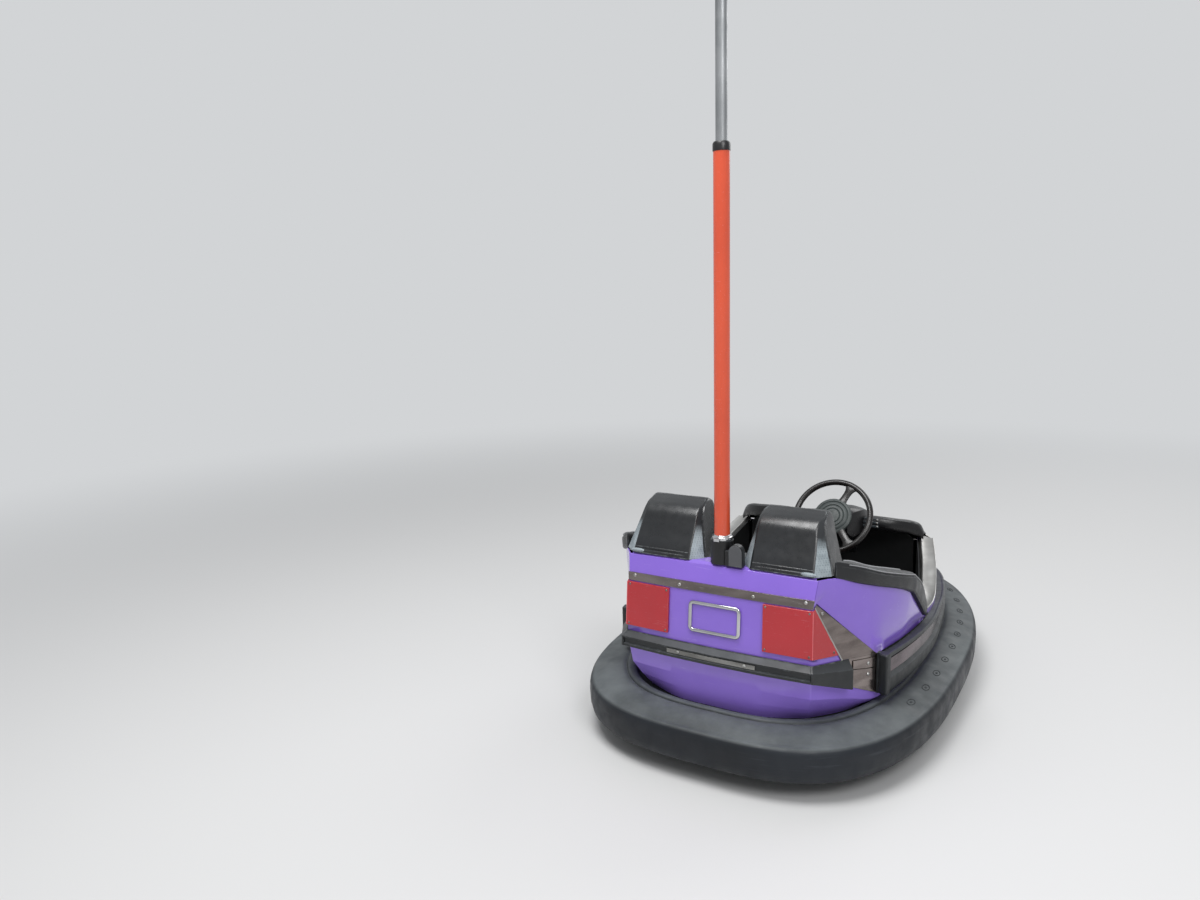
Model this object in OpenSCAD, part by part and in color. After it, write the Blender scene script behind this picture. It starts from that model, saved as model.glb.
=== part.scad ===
// Two-seat bumper car: rubber ring, open cockpit, roof pole and a steered drive wheel.
// Front faces -Y, the driver's left is +X, the floor is Z = 0.

/* [Ring] */
// full length over the rubber ring
ring_length = 1962; // [1900:1:2060]
// full width over the rubber ring
ring_width = 1200; // [1170:1:1260]
// radial width of the rubber ring
ring_band = 150; // [142:1:156]
// underside of the rubber ring above the floor
ring_bottom = 60; // [54:1:66]

/* [Body] */
// reach of the sills past the ring's inner edge
sill_overhang = 24; // [18:1:30]
// gap from the body's ends to the ring's inner edge
end_gap = 35; // [30:1:50]
// height of the deck behind the seats above the floor
deck_height = 634; // [600:1:680]
// thickness of the moulded panels
panel_wall = 5; // [4:0.5:6]
// thickness of the steel trim
trim_thick = 3; // [2:0.5:4]
// clearance between pieces that seat on each other
fit_gap = 0.3; // [0.2:0.1:0.5]
// reach of the black side strips beyond the panels
strip_reach = 40; // [30:1:46]

/* [Pole] */
// top of the roof contact above the floor
pole_top = 2330; // [2200:10:2500]
// radius of the pole's painted sleeve
sleeve_r = 24; // [22:0.5:26]
// radius of the steel tube inside the sleeve
tube_r = 17; // [14:0.5:19]

/* [Steering] */
// radius of the steering wheel to the middle of its rim
wheel_r = 139; // [130:1:146]
// radius of the rim's section
rim_r = 11; // [9:0.5:13]
// slope of the steering column from level
column_slope = 35; // [33:1:37]

/* [Running gear] */
// radius of the drive wheel
drive_r = 85; // [82:1:88]
// radius of the two rear wheels
rear_r = 65; // [62:1:68]
// radius of the drive motor's case
motor_r = 95; // [88:1:98]

/* [Node] */
// node to build alone, or all

/* [Hidden] */
body_width = ring_width - 2 * ring_band + 2 * sill_overhang;
body_length = ring_length - 2 * ring_band - 2 * end_gap;
pan_top = ring_bottom + 112;
pan_thick = 8;
wall = panel_wall;
g = fit_gap;

// the tables give the body as measured at 948 mm wide, 1592 mm long and with its deck at 634 mm
kx = body_width / 948;
ky = body_length / 1592;
kz = (deck_height - pan_top) / (634 - 172);
function up(z) = pan_top + (z - 172) * kz;
function b(x, y, z) = [x * kx, y * ky, up(z)];
function lerp(p, q, t) = p + t * (q - p);

// outline stations round half the body, from the rear middle to the front middle, columns:
// side x, side y, strip bottom z, strip top z, foot x, foot y
edge = [
  [0, 830, 330, 381, 0, 802],
  [155, 827, 330, 381, 150, 793],
  [305, 822, 332, 381, 262, 742],
  [371, 691, 278, 368, 345, 640],
  [425, 583, 227, 356, 385, 560],
  [458, 400, 230, 350, 412, 400],
  [474, 166, 235, 340, 424, 166],
  [458, -31, 238, 328, 416, -31],
  [440, -180, 240, 318, 396, -180],
  [415, -312, 241, 308, 372, -312],
  [370, -480, 242, 295, 330, -475],
  [328, -585, 243, 285, 286, -574],
  [303, -645, 176, 280, 262, -630],
  [93, -750, 180, 237, 93, -716],
  [0, -762, 180, 237, 0, -726]
];
// stations by name
rear_corner = 2;
plate_rear = 3;
plate_front = 4;
sill_rear = 6;
strip_front = 11;
front_mid = 14;

function side_at(j, z) = b(edge[j][0], edge[j][1], z);
function low(j) = side_at(j, edge[j][2]);
function high(j) = side_at(j, edge[j][3]);
// joint between the lower body and the panels above it, behind the strips
function mid(j) = side_at(j, edge[j][2] + 20);
function foot(j) = [edge[j][4] * kx, edge[j][5] * ky, pan_top + g];
function knee(j) = let (s = low(j), f = foot(j)) [lerp(f[0], s[0], 0.82), lerp(f[1], s[1], 0.82),
  lerp(f[2], s[2], 0.6)];

// outward level direction at a point of the body's skin
function cube_of(v) = v * v * v;
function out_dir(p) = let (ry = (p[1] > 0 ? 830 : 765) * ky, rx = 480 * kx,
  v = [cube_of(p[0] / rx) / rx, cube_of(p[1] / ry) / ry, 0]) v / norm(v);
function out(p, d) = p + d * out_dir(p);
function outs(grid, d) = [for (r = grid) [for (p = r) out(p, d)]];
function ups(grid, d) = [for (r = grid) [for (p = r) p + [0, 0, d]]];
// a row given from the middle outwards, made full width
function both(v) = concat([for (i = [len(v) - 1:-1:1]) [-v[i][0], v[i][1], v[i][2]]], v);
// grid of points on the face between four corners: low near, low far, high near, high far
function quad(c, u, v) = lerp(lerp(c[0], c[1], u), lerp(c[2], c[3], u), v);
function patch(c, us, vs) = [for (v = vs) [for (u = us) quad(c, u, v)]];
// smooth curve through a row of points, with n steps between each two
function fine(row, n) = let (m = len(row) - 1) concat([for (i = [0:m - 1], k = [0:n - 1])
  let (t = k / n, p = row[max(i - 1, 0)], q = row[i], r = row[i + 1], s = row[min(i + 2, m)])
  q + 0.5 * t * (r - p + t * (2 * p - 5 * q + 4 * r - s + t * (3 * (q - r) + s - p)))], [row[m]]);

function volume(p, f) = let (v = [for (t = f) p[t[0]] * cross(p[t[1]], p[t[2]])])
  v * [for (t = f) 1];
module solid(p, f) {
  polyhedron(p, volume(p, f) < 0 ? f : [for (t = f) [t[2], t[1], t[0]]], convexity = 6);
}

// the left side's shape and its mirror image
module pair() {
  children();
  mirror([1, 0, 0]) children();
}

// a sheet between an outer and an inner grid of points
module sheet(o, i) {
  nr = len(o);
  nc = len(o[0]);
  n = nr * nc;
  pts = concat([for (r = o) each r], [for (r = i) each r]);
  f = concat(
    [for (r = [0:nr - 2], c = [0:nc - 2], k = [0, 1]) let (a = r * nc + c)
      k == 0 ? [a, a + 1, a + nc + 1] : [a, a + nc + 1, a + nc]],
    [for (r = [0:nr - 2], c = [0:nc - 2], k = [0, 1]) let (a = n + r * nc + c)
      k == 0 ? [a + nc + 1, a + 1, a] : [a + nc, a + nc + 1, a]],
    [for (c = [0:nc - 2], k = [0, 1]) k == 0 ? [c, n + c + 1, c + 1] : [c, n + c, n + c + 1]],
    [for (c = [0:nc - 2], k = [0, 1]) let (a = (nr - 1) * nc + c)
      k == 0 ? [a, a + 1, n + a + 1] : [a, n + a + 1, n + a]],
    [for (r = [0:nr - 2], k = [0, 1]) let (a = r * nc)
      k == 0 ? [a, a + nc, n + a + nc] : [a, n + a + nc, n + a]],
    [for (r = [0:nr - 2], k = [0, 1]) let (a = r * nc + nc - 1)
      k == 0 ? [a, n + a + nc, a + nc] : [a, n + a, n + a + nc]]);
  solid(pts, f);
}

// a bar through a list of sections, closed on itself or capped
module bar(s, loop = false) {
  ns = len(s);
  m = len(s[0]);
  f = concat(
    [for (i = [0:loop ? ns - 1 : ns - 2], j = [0:m - 1], k = [0, 1])
      let (a = i * m + j, q = i * m + (j + 1) % m, e = ((i + 1) % ns) * m + j,
        h = ((i + 1) % ns) * m + (j + 1) % m)
      k == 0 ? [a, q, h] : [a, h, e]],
    loop ? [] : [for (j = [1:m - 2]) [0, j + 1, j]],
    loop ? [] : [for (j = [1:m - 2]) let (a = (ns - 1) * m) [a, a + j, a + j + 1]]);
  solid([for (r = s) each r], f);
}

// a point of the ring's outline, drawn in from the outside; the ring is widest ahead of its rear end
ring_mid = 70 * ky;
function pw(v, e) = (v < 0 ? -1 : 1) * pow(abs(v), e);
function ring_pt(a, inset) = let (rear = sin(a) > 0, e = 2 / (rear ? 3 : 2.25),
  half = ring_length / 2 + (rear ? -ring_mid : ring_mid))
  [(ring_width / 2 - inset) * pw(cos(a), e), ring_mid + (half - inset) * pw(sin(a), e)];
ring_steps = 56;
function ring_outline(inset) = [for (i = [0:ring_steps - 1]) ring_pt(i * 360 / ring_steps, inset)];

// section of the rubber ring, columns: inset, height above its underside
ring_section = [[ring_band, 22], [ring_band - 8, 6], [ring_band - 30, 0], [30, 0], [9, 8], [1, 34],
  [0, 78], [4, 101], [10, 108], [22, 113], [60, 126], [ring_band - 35, 134], [ring_band - 10, 131],
    [ring_band, 120]];

module bumper_tyre() {
  color([0.2, 0.21, 0.2]) bar([for (i = [0:ring_steps - 1]) [for (s = ring_section)
    let (q = ring_pt(i * 360 / ring_steps, s[0])) [q[0], q[1], ring_bottom + s[1]]]], true);
}
band_low = ring_bottom + 22;
// joints across the band, which is bent from separate lengths of flat steel
band_joints = [for (y = [-430, -80, 270, 560]) y * ky];
module bumper_band() {
  color([0.16, 0.16, 0.17]) translate([0, 0, band_low])
    linear_extrude(pan_top - pan_thick - g - band_low) difference() {
      polygon(ring_outline(ring_band + g));
      polygon(ring_outline(ring_band + 5));
      for (y = band_joints) translate([0, y]) square([ring_width, 2 * g], center = true);
      square([2 * g, 2 * ring_length], center = true);
    }
}
drive_y = -430 * ky;
hole_r = drive_r + 20;
module floor_pan() {
  color([0.1, 0.1, 0.11]) translate([0, 0, pan_top - pan_thick]) linear_extrude(pan_thick) difference() {
    polygon(ring_outline(ring_band + g));
    translate([0, drive_y]) circle(hole_r);
  }
}

frame_x = 190 * kx;
rail_w = 40;
rail_h = 34;
frame_z = pan_top - pan_thick - g - rail_h;
axle_y = 560 * ky;
axle_z = rear_r;
axle_r = 10;
module chassis_frame() {
  color([0.13, 0.13, 0.14]) {
    for (s = [-1, 1]) translate([s * frame_x - rail_w / 2, -640 * ky, frame_z]) cube([rail_w,
      1320 * ky, rail_h]);
    for (y = [-640, -220, 180, 640]) translate([-frame_x, y * ky, frame_z]) cube([2 * frame_x, rail_w,
      rail_h]);
    for (s = [-1, 1]) translate([s * frame_x - rail_w / 2, axle_y - rail_w / 2, axle_z - 14]) difference() {
      cube([rail_w, rail_w, frame_z + rail_h - axle_z + 14]);
      translate([-1, rail_w / 2, 14]) rotate([0, 90, 0]) cylinder(r = axle_r + 0.05, h = rail_w + 2);
    }
  }
}

module lower_body() {
  js = [0:front_mid];
  o = [[for (j = js) foot(j)], [for (j = js) knee(j)], [for (j = js) mid(j) - [0, 0, g]]];
  color([0.36, 0.27, 0.62]) {
    sheet(outs(o, 0), outs(o, -wall));
    mirror([1, 0, 0]) sheet(outs(o, 0), outs(o, -wall));
  }
}

// rear panel: its upright face, the facet at each corner and the deck on top
face_top = [b(0, 818, 547), b(153, 816.5, 547), b(302, 812, 547)];
facet_top = b(305, 790, 556);
deck_edge = [b(0, 795, 628), b(155, 795, 628), b(311, 795, 628)];
face_in = [high(0), high(1), face_top[0], face_top[1]];
face_out = [high(1), high(2), face_top[1], face_top[2]];
facet_mid = lerp(face_top[2], facet_top, 0.5);
facet_a = [high(rear_corner), high(plate_rear), face_top[2], facet_mid];
// the plate's edge keeps clear of the quarter panel's
facet_seam = 0.012;
facet_b = [high(plate_rear), lerp(high(plate_front), high(plate_rear), facet_seam), facet_mid,
  lerp(facet_top, facet_mid, 0.1)];
face_rows = [0, 0.11, 0.25, 0.5, 0.77, 0.975, 1];
facet_cols = [0, 0.25, 0.5, 0.8, 1];
deck_z = deck_height;
// share of the upper face that the steel strip covers
strip_share = 0.31;
// a row across half the face, with points between those given
function face_row(p) = [p[0], lerp(p[0], p[1], 0.5), p[1], lerp(p[1], p[2], 0.5), p[2]];
function mix(p, q, t) = [for (i = [0:len(p) - 1]) lerp(p[i], q[i], t)];
face_base = [high(0), high(1), high(2)];
module rear_panel() {
  face = concat([face_row([mid(0), mid(1), mid(2)])], [for (v = face_rows) face_row(mix(face_base,
    face_top, v))],
    [for (t = [strip_share, 1]) face_row(mix(face_top, deck_edge, t))]);
  full = [for (r = face) both(r)];
  facet = concat([concat([for (u = facet_cols) lerp(mid(rear_corner), mid(plate_rear), u)],
    [lerp(mid(plate_front), mid(plate_rear), facet_seam)])],
    [for (v = face_rows) concat(patch(facet_a, facet_cols, [v])[0], [quad(facet_b, 1, v)])]);
  deck = [both([deck_edge[0] - [0, 1, 0], deck_edge[1] - [0, 1, 0], b(303, 788, 628)]),
    both([[0, 784 * ky, deck_z], [155 * kx, 784 * ky, deck_z], b(301, 780, 634)]),
    both([[0, 740 * ky, deck_z], [155 * kx, 740 * ky, deck_z], b(326, 740, 634)])];
  color([0.54, 0.42, 0.82]) {
    sheet(outs(full, 0), outs(full, -wall));
    pair() sheet(outs(facet, 0), outs(facet, -wall));
    sheet(deck, ups(deck, -wall));
  }
}

// quarter panel edges from the rear crease to the sill; the padded rail stands on the upper one
quarter_low = [face_top[2] + [0, -1.5, 2], facet_top + [0, 0, 2], lerp(facet_top, high(plate_front),
  0.5), high(plate_front),
  lerp(high(4), high(5), 0.66), high(5), lerp(high(5), high(sill_rear), 0.46), high(sill_rear)];
quarter_top = [deck_edge[2] - [0, 1.5, 0], b(348, 741, 626), b(385, 686, 603), b(426, 595, 571), b(469,
  461, 531),
  b(481, 391, 508), b(480, 292, 428), b(475, 186, 352)];
module quarter_panel() {
  low_rows = [[mid(4), lerp(mid(4), mid(5), 0.66), mid(5), lerp(mid(5), mid(6), 0.46), mid(6)],
    [for (i = [3:7]) quarter_low[i]]];
  color([0.54, 0.42, 0.82]) for (grid = [low_rows, [quarter_low, quarter_top]])
    sheet(outs(grid, 0), outs(grid, -wall));
}
module quarter_panels() { pair() quarter_panel(); }

sill_steps = 3;
fender_top = concat(fine([b(474, 165.6, 352), b(458, -31, 346), b(428, -180, 418), b(392, -312, 481)],
  sill_steps), [b(346, -480, 431), b(314, -585, 400), b(296, -657, 378)]);
module fender() {
  rows = [concat(fine([mid(6) - [0, 0.4, 0], mid(7), mid(8), mid(9)], sill_steps), [mid(10), mid(11),
    mid(12)]), fender_top];
  color([0.54, 0.42, 0.82]) sheet(outs(rows, 0), outs(rows, -wall));
}
module fenders() { pair() fender(); }

// hood edge at the rear and at the front, from the middle outwards, columns: x, z and x, y, z
cowl_y = -330;
hood_rear = [for (p = [[0, 528], [60, 527], [105, 526], [150, 523], [318, 510]]) b(p[0], cowl_y,
  p[1]) - [0, g, 0]];
hood_front = [b(0, -760, 304), b(65, -756, 308), b(80, -749, 345), b(116, -735, 364), b(291, -659, 379)];
function hood_row(t) = [for (i = [0:4]) lerp(hood_rear[i], hood_front[i], t) + [0, 0, 22 * sin(180 * t)]];
// scoop on the hood: rows from its rear lip to its nose
scoop = [[b(0, -340, 542), b(112, -340, 540), b(128, -340, 532)],
  [b(0, -470, 515), b(112, -470, 513), b(132, -475, 488)],
  [b(0, -506, 480), b(120, -506, 478), b(140, -506, 474)]];
module hood() {
  rows = [for (t = [0, 0.3, 0.65, 0.9, 1]) both(hood_row(t))];
  scoop_rows = [for (r = scoop) both(r)];
  color([0.54, 0.42, 0.82]) {
    sheet(rows, ups(rows, -wall));
    sheet(scoop_rows, ups(scoop_rows, -22));
  }
}
module hood_mesh() {
  rows = [for (t = [0.1, 0.92]) both([lerp(scoop[0][0], scoop[1][0], t),
    lerp(lerp(scoop[0][0], scoop[0][1], 0.9), lerp(scoop[1][0], scoop[1][1], 0.9), t)])];
  color([0.5, 0.5, 0.52]) sheet(ups(rows, 2 + g), ups(rows, g));
}

// front panel under the hood: a grille in the middle and a lamp face at each side
panel_top = [for (p = hood_front) p - [0, 0, wall + g]];
grille_low = [mid(14) + [0, 0, g], lerp(mid(13), mid(14), 0.1) + [0, 0, g]];
lamp_face = [lerp(mid(13), mid(12), 0.01) + [0, 0, g], lerp(mid(12), mid(13), 0.005) + [0, 0, g],
  panel_top[3], panel_top[4] + [-1, 0, 0]];
lamp_cols = [0, 0.06, 0.2, 0.4, 0.6, 0.8, 0.94, 1];
lamp_rows = [0, 0.23, 0.45, 0.68, 0.86, 1];
module front_panel() {
  grille_edge = [for (v = lamp_rows) quad(lamp_face, 0, v)];
  grille = [for (k = [0:5]) let (v = lamp_rows[k]) both([lerp(grille_low[0], panel_top[0], v),
    lerp(grille_low[1], panel_top[1], v), grille_edge[k]])];
  color([0.07, 0.07, 0.08]) {
    sheet(outs(grille, 0), outs(grille, -wall));
    pair() let (rows = patch(lamp_face, lamp_cols, lamp_rows)) sheet(outs(rows, 0), outs(rows, -wall));
  }
}
module front_strip() {
  z = [lamp_face[0][2], lamp_face[0][2] + 36];
  line = [for (v = [0, 0.22]) both([lerp(grille_low[0], panel_top[0], v), lerp(grille_low[1],
    panel_top[1], v),
    quad(lamp_face, 0, v), quad(lamp_face, 1, v)])];
  rows = [for (k = [0, 1]) [for (p = line[k]) [p[0], p[1], z[k]]]];
  color([0.08, 0.08, 0.09]) sheet(outs(rows, strip_reach * 0.7), outs(rows, 0.8));
}
// rubber strip along the skin between two lines: section rows give the share of its height and the
// reach at a plain end block and in the groove; grooved says which points lie in the groove
module strip(lo, hi, section, grooved) {
  sheet([for (r = section) [for (k = [0:len(lo) - 1]) out(lerp(lo[k], hi[k], r[0]),
      grooved[k] ? r[2] : r[1])]],
    [for (r = section) [for (k = [0:len(lo) - 1]) out(lerp(lo[k], hi[k], r[0]), trim_thick + 2 * g)]]);
}
rear_section = [[0, 22, 22], [0.04, 26, 26], [0.2, 26, 26], [0.24, 26, 20], [0.58, 26, 20], [0.62, 26,
  26], [0.7, 26, 26], [0.94, 6, 6], [1, 4, 4]];
module rear_strip() {
  // shares of the way from the corner to the station beside it where the groove ends
  ends = [0.05, 0.04];
  lo = concat([low(0), low(1)], [for (t = ends) lerp(low(2), low(1), t)], [low(2), low(3)]);
  hi = concat([high(0), high(1)], [for (t = ends) lerp(high(2), high(1), t)], [high(2), high(3)]);
  half = [true, true, true, false, false, false];
  grooved = concat([for (k = [5:-1:1]) half[k]], half);
  color([0.12, 0.13, 0.13]) strip(both(lo), both(hi), rear_section, grooved);
}
// steel strip above the tail lamps and the plate at each rear corner
module rear_steel_trim() {
  top = [for (t = [0, strip_share]) both(face_row(mix(face_top, deck_edge, t)))];
  face_plate = patch(facet_b, [0, 1], face_rows);
  low_plate = [[mid(3) - [0, 0, 18], mid(4) - [0, 0, 18]], [high(3), high(4)]];
  // two small cover plates, one above the other
  covers = [for (v = [[0.3, 0.33, 0.6, 0.64], [0.63, 0.67, 0.9, 0.92]]) let (c = concat(low_plate[0],
    low_plate[1])) [[quad(c, 0.14, v[0]), quad(c, 0.9, v[1])], [quad(c, 0.14, v[2]), quad(c, 0.9, v[3])]]];
  upper_plate = patch(facet_a, [0.8, 1], face_rows);
  color([0.62, 0.6, 0.56]) {
    sheet(outs(top, trim_thick + g), outs(top, g));
    pair() for (grid = [face_plate, low_plate, upper_plate]) sheet(outs(grid, trim_thick + g),
      outs(grid, g));
    pair() for (grid = covers) sheet(outs(grid, 2 * trim_thick + 2 * g), outs(grid, trim_thick + 2 * g));
  }
}
side_section = [[0, 0.95, 0.95], [0.04, 1, 1], [0.3, 1, 1], [0.34, 1, 0.78], [0.74, 1, 0.78], [0.78, 1,
  1], [0.95, 1, 1], [1, 0.92, 0.92]];
// the groove runs from behind the rear block to near the front end, in shares of the row of stations
groove_from = 0.16;
groove_to = 6.2;
groove_slope = 0.02;
function along(row, t) = let (i = min(floor(t), len(row) - 2)) lerp(row[i], row[i + 1], t - i);
module side_strip() {
  js = [plate_front:strip_front];
  lows = [for (j = js) low(j)];
  highs = [for (j = js) high(j)];
  ts = [0, groove_from, groove_from + groove_slope, 1, 2, 3, 4, 5, 6, groove_to, groove_to + groove_slope,
    7];
  color([0.1, 0.1, 0.11]) strip([for (t = ts) along(lows, t)], [for (t = ts) along(highs, t)],
    [for (r = side_section) [r[0], strip_reach * r[1], strip_reach * r[2]]],
    [for (t = ts) t > groove_from && t <= groove_to]);
}
module side_strips() { pair() side_strip(); }

module tail_lamps() {
  reach = 8;
  face = patch(face_out, [0, 0.5, 0.995], [0.11, 0.25, 0.5, 0.77, 0.975]);
  flank = patch(facet_a, [0, 0.25, 0.5, 0.78], [0.11, 0.25, 0.5, 0.77, 0.975]);
  color([0.72, 0.12, 0.15]) pair() {
    sheet(outs(face, reach), outs(face, g));
    sheet(outs(flank, reach), outs(flank, g));
  }
}
module head_lamps() {
  cols = [0.06, 0.2, 0.4, 0.6, 0.8, 0.94];
  top_cols = [0.16, 0.26, 0.42, 0.6, 0.78, 0.9];
  rows = concat(patch(lamp_face, cols, [0.24, 0.45, 0.68]), patch(lamp_face, top_cols, [0.86]));
  color([0.92, 0.76, 0.1]) pair() sheet(outs(rows, 10), outs(rows, 1));
}
// bright arch over each head lamp, columns: across and up the lamp face, at its inner and outer edge
arch = [[0.98, 0.9, 0.98, 0.99], [0.55, 0.9, 0.55, 0.99], [0.16, 0.9, 0.12, 0.99], [0.04, 0.74, -0.04,
  0.84],
  [0.02, 0.45, -0.07, 0.5]];
module head_lamp_trims() {
  rows = [for (k = [0, 2]) [for (r = arch) quad(lamp_face, r[k], r[k + 1])]];
  color([0.66, 0.65, 0.62]) pair() sheet(outs(rows, 16), outs(rows, 1));
}
module hood_side_plates() {
  rows = [[b(291, -662, 380), b(321, -336, 513)], [b(298, -662, 380), b(392, -312, 483)]];
  color([0.66, 0.65, 0.62]) pair() sheet(ups(rows, trim_thick + g), ups(rows, g));
}
plate_rows = [for (z = [428.5, 508.5]) (z - 381) / (547 - 381)];
module number_plate() {
  rows = [for (v = [plate_rows[0], 0.5, plate_rows[1]]) both(patch(face_in, [0, 0.5], [v])[0])];
  color([0.5, 0.4, 0.8]) sheet(outs(rows, 2), outs(rows, g));
}
module plate_frame() {
  c = lerp(quad(face_in, 0, plate_rows[0]), quad(face_in, 0, plate_rows[1]), 0.5);
  color([0.75, 0.75, 0.76]) translate([0, c[1] + g, c[2]]) rotate([94, 0, 0]) translate([0, 0, -7])
    linear_extrude(7) difference() {
      square([172, 98], center = true);
      square([2 * 78 * kx, 82], center = true);
    }
}
// steel cover along the sill, with an edge folded down into the cockpit
sill_out = concat(fine([b(392, -312, 483), b(428, -180, 420), b(458, -31, 349), b(474, 166, 354)],
  sill_steps), [b(474, 184, 374)]);
sill_in = concat(fine([b(340, -312, 489), b(378, -180, 424), b(410, -31, 351), b(424, 166, 356)],
  sill_steps), [b(424, 184, 376)]);
sill_fold = [-4, 0, -12];
module sill_trims() {
  n = len(sill_in) - 1;
  // the fold runs out at the raised rear end
  fold = [for (k = [0:n]) sill_in[k] + (k < n ? 1 : 0.2) * sill_fold];
  edge_out = [for (p = sill_in) p + [-trim_thick, 0, trim_thick + g]];
  color([0.66, 0.65, 0.62]) pair()
    sheet([ups([sill_out], trim_thick + g)[0], edge_out, [for (p = fold) p - [trim_thick, 0, 0]]],
      [ups([sill_out], g)[0], ups([sill_in], g)[0], fold]);
}

// black dash moulding behind the hood, columns: x; y and z of its crest; z of its shoulder
dash = [[0, -172, 583, 552], [110, -174, 584, 549], [200, -184, 583, 545], [275, -206, 567, 537], [335,
  -250, 540, 526]];
dash_wall = 6;
// roll along the dash's rear edge, columns: y and z from the crest at its outside, then at its inside
roll = [[-16, 0, -16, -6], [-4, -4, -8, -9], [3, -14, -3, -17], [5, -36, -1, -34], [0, -46, -5, -41], [-12,
  -50, -12, -44]];
// hump over the steering column, columns: y, half width, top z, underside z
hump = [[-290, 95, 556, 536], [-225, 88, 604, 530], [-160, 80, 617, 518], [-108, 60, 611, 510], [-84,
  48, 594, 530]];
hump_x = -87;
wheel_at = b(-95, -23, 605);
column_r = 20;
module along_column() { translate(wheel_at) rotate([column_slope - 90, 0, 0]) children(); }
module cowl() {
  front = [for (p = [[0, 529], [110, 527], [200, 521], [275, 515], [322, 511]]) b(p[0], cowl_y, p[1])];
  shoulder = [for (p = dash) b(p[0], min(-300, p[1] - 45), p[3])];
  crest = both([for (p = dash) b(p[0], p[1], p[2])]);
  top = [both(front), both(shoulder)];
  o = concat(top, [for (r = roll) [for (p = crest) p + [0, r[0], r[1]]]]);
  i = concat(ups(top, -dash_wall), [for (r = roll) [for (p = crest) p + [0, r[2], r[3]]]]);
  color([0.12, 0.12, 0.12]) difference() {
    union() {
      sheet(o, i);
      bar([for (h = hump) let (w = h[1], t = h[2], k = h[3]) [for (q = [[-w, k], [-w, t - 26],
        [-w * 0.75, t - 6],
        [-w * 0.4, t], [w * 0.4, t], [w * 0.75, t - 6], [w, t - 26], [w, k]]) b(hump_x, h[0],
          q[1]) + [q[0], 0, 0]]]);
    }
    along_column() translate([0, 0, -400]) cylinder(r = column_r + g, h = 360);
  }
}
wall_y = -292 * ky;
module bulkhead() {
  o = [both([[0, wall_y, up(545)], [200 * kx, wall_y, up(536)], [270 * kx, wall_y, up(526)], [332 * kx,
    wall_y, up(480)]]),
    both([for (x = [0, 180, 280, 339]) [x * kx, wall_y, pan_top + g]])];
  color([0.09, 0.09, 0.1]) sheet(o, [for (r = o) [for (p = r) p - [0, 4, 0]]]);
}

// level direction into the cockpit, square to the quarter panel's upper edge
function inward(i) = let (a = quarter_top[max(i - 1, 0)], c = quarter_top[min(i + 1, 7)], d = c - a)
  [d[1], -d[0], 0] / norm([d[0], d[1]]);
rail_width = 56;
liner_wall = 4;
// inner side wall of the cockpit: its upper edge follows the rail and the sill
module cockpit_liner() {
  hi = concat([for (i = [3:7]) quarter_top[i] + (rail_width - 2) * inward(i)],
    fine([b(424, 166, 350), b(410, -31, 345), b(378, -180, 418), b(346, -291, 476)], sill_steps));
  lo = [for (p = concat([[350, 600], [378, 461], [386, 391], [390, 292], [392, 186]],
    fine([[392, 166], [386, -31], [366, -180], [343, -291]], sill_steps)))
    [p[0] * kx, p[1] * ky, pan_top + g]];
  rows = [lo, hi];
  color([0.09, 0.09, 0.1]) pair() sheet(rows, [for (r = rows) [for (p = r) p + [liner_wall, 0, 0]]]);
}

// seats
// seat back line, its foot and its head, columns: y, z
back_foot = [502 * ky, up(300)];
back_head = [646 * ky, deck_height];
back_dir = (back_head - back_foot) / norm(back_head - back_foot);
back_out = [-back_dir[1], back_dir[0]];
back_len = norm(back_head - back_foot);
// a point on the seat back: across, up along it, and out of its face
function on_back(x, s, d) = let (q = back_foot + back_dir * s + back_out * d) [x * kx, q[0], q[1]];
module seat_shell() {
  deck = [both([[0, 739.5 * ky, deck_z], [326 * kx, 739.5 * ky, deck_z]]), both([[0, back_head[0],
    deck_z], [328 * kx, back_head[0], deck_z]])];
  rows = [[0, 372], [back_len * 0.7, 352], [back_len * 0.86, 346], [back_len, 328]];
  back = [for (r = rows) both([on_back(0, r[0], 0), on_back(r[1], r[0], 0)])];
  color([0.1, 0.1, 0.11]) {
    sheet(deck, ups(deck, -wall));
    sheet(back, [for (r = back) [for (p = r) p + [0, wall + 1, 0]]]);
  }
}

// headrest levels, columns: z, front y, rear y, side y, inner and outer x at front, rear and side
head_table = [
  [634, 610, 794, 752, 70, 328, 103, 293, 60, 340],
  [660, 611, 782, 742, 74, 322, 103, 291, 68, 332],
  [700, 611, 760, 730, 80, 313, 103, 288, 77, 318],
  [735, 611, 742, 718, 86, 305, 103, 284, 86, 307],
  [762, 611, 727, 706, 90, 300, 103, 281, 91, 300],
  [779, 613, 708, 692, 93, 296, 103, 282, 94, 296],
  [790, 620, 680, 668, 97, 293, 104, 286, 97, 292],
  [797, 634, 655, 650, 102, 290, 105, 288, 102, 289]
];
function head_ring(h, d, z) = let (q = [[h[4] + d, h[1] + d], [h[5] - d, h[1] + d], [h[9] - d,
  h[3] - d * 0.4],
  [h[7] - d, h[2] - d], [h[6] + d, h[2] - d], [h[8] + d, h[3] - d * 0.4]]) [for (p = q) b(p[0], p[1],
    z) + [0, 0, g]];
module headrest() {
  skin = 7;
  color([0.11, 0.11, 0.12]) difference() {
    bar([for (h = head_table) head_ring(h, 0, h[0])]);
    bar([for (k = [0:len(head_table) - 1]) let (h = head_table[k])
      head_ring(h, skin, k == 0 ? h[0] - 1 : h[0] - (k > 4 ? skin : 0))]);
  }
}
module headrests() { pair() headrest(); }

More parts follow.
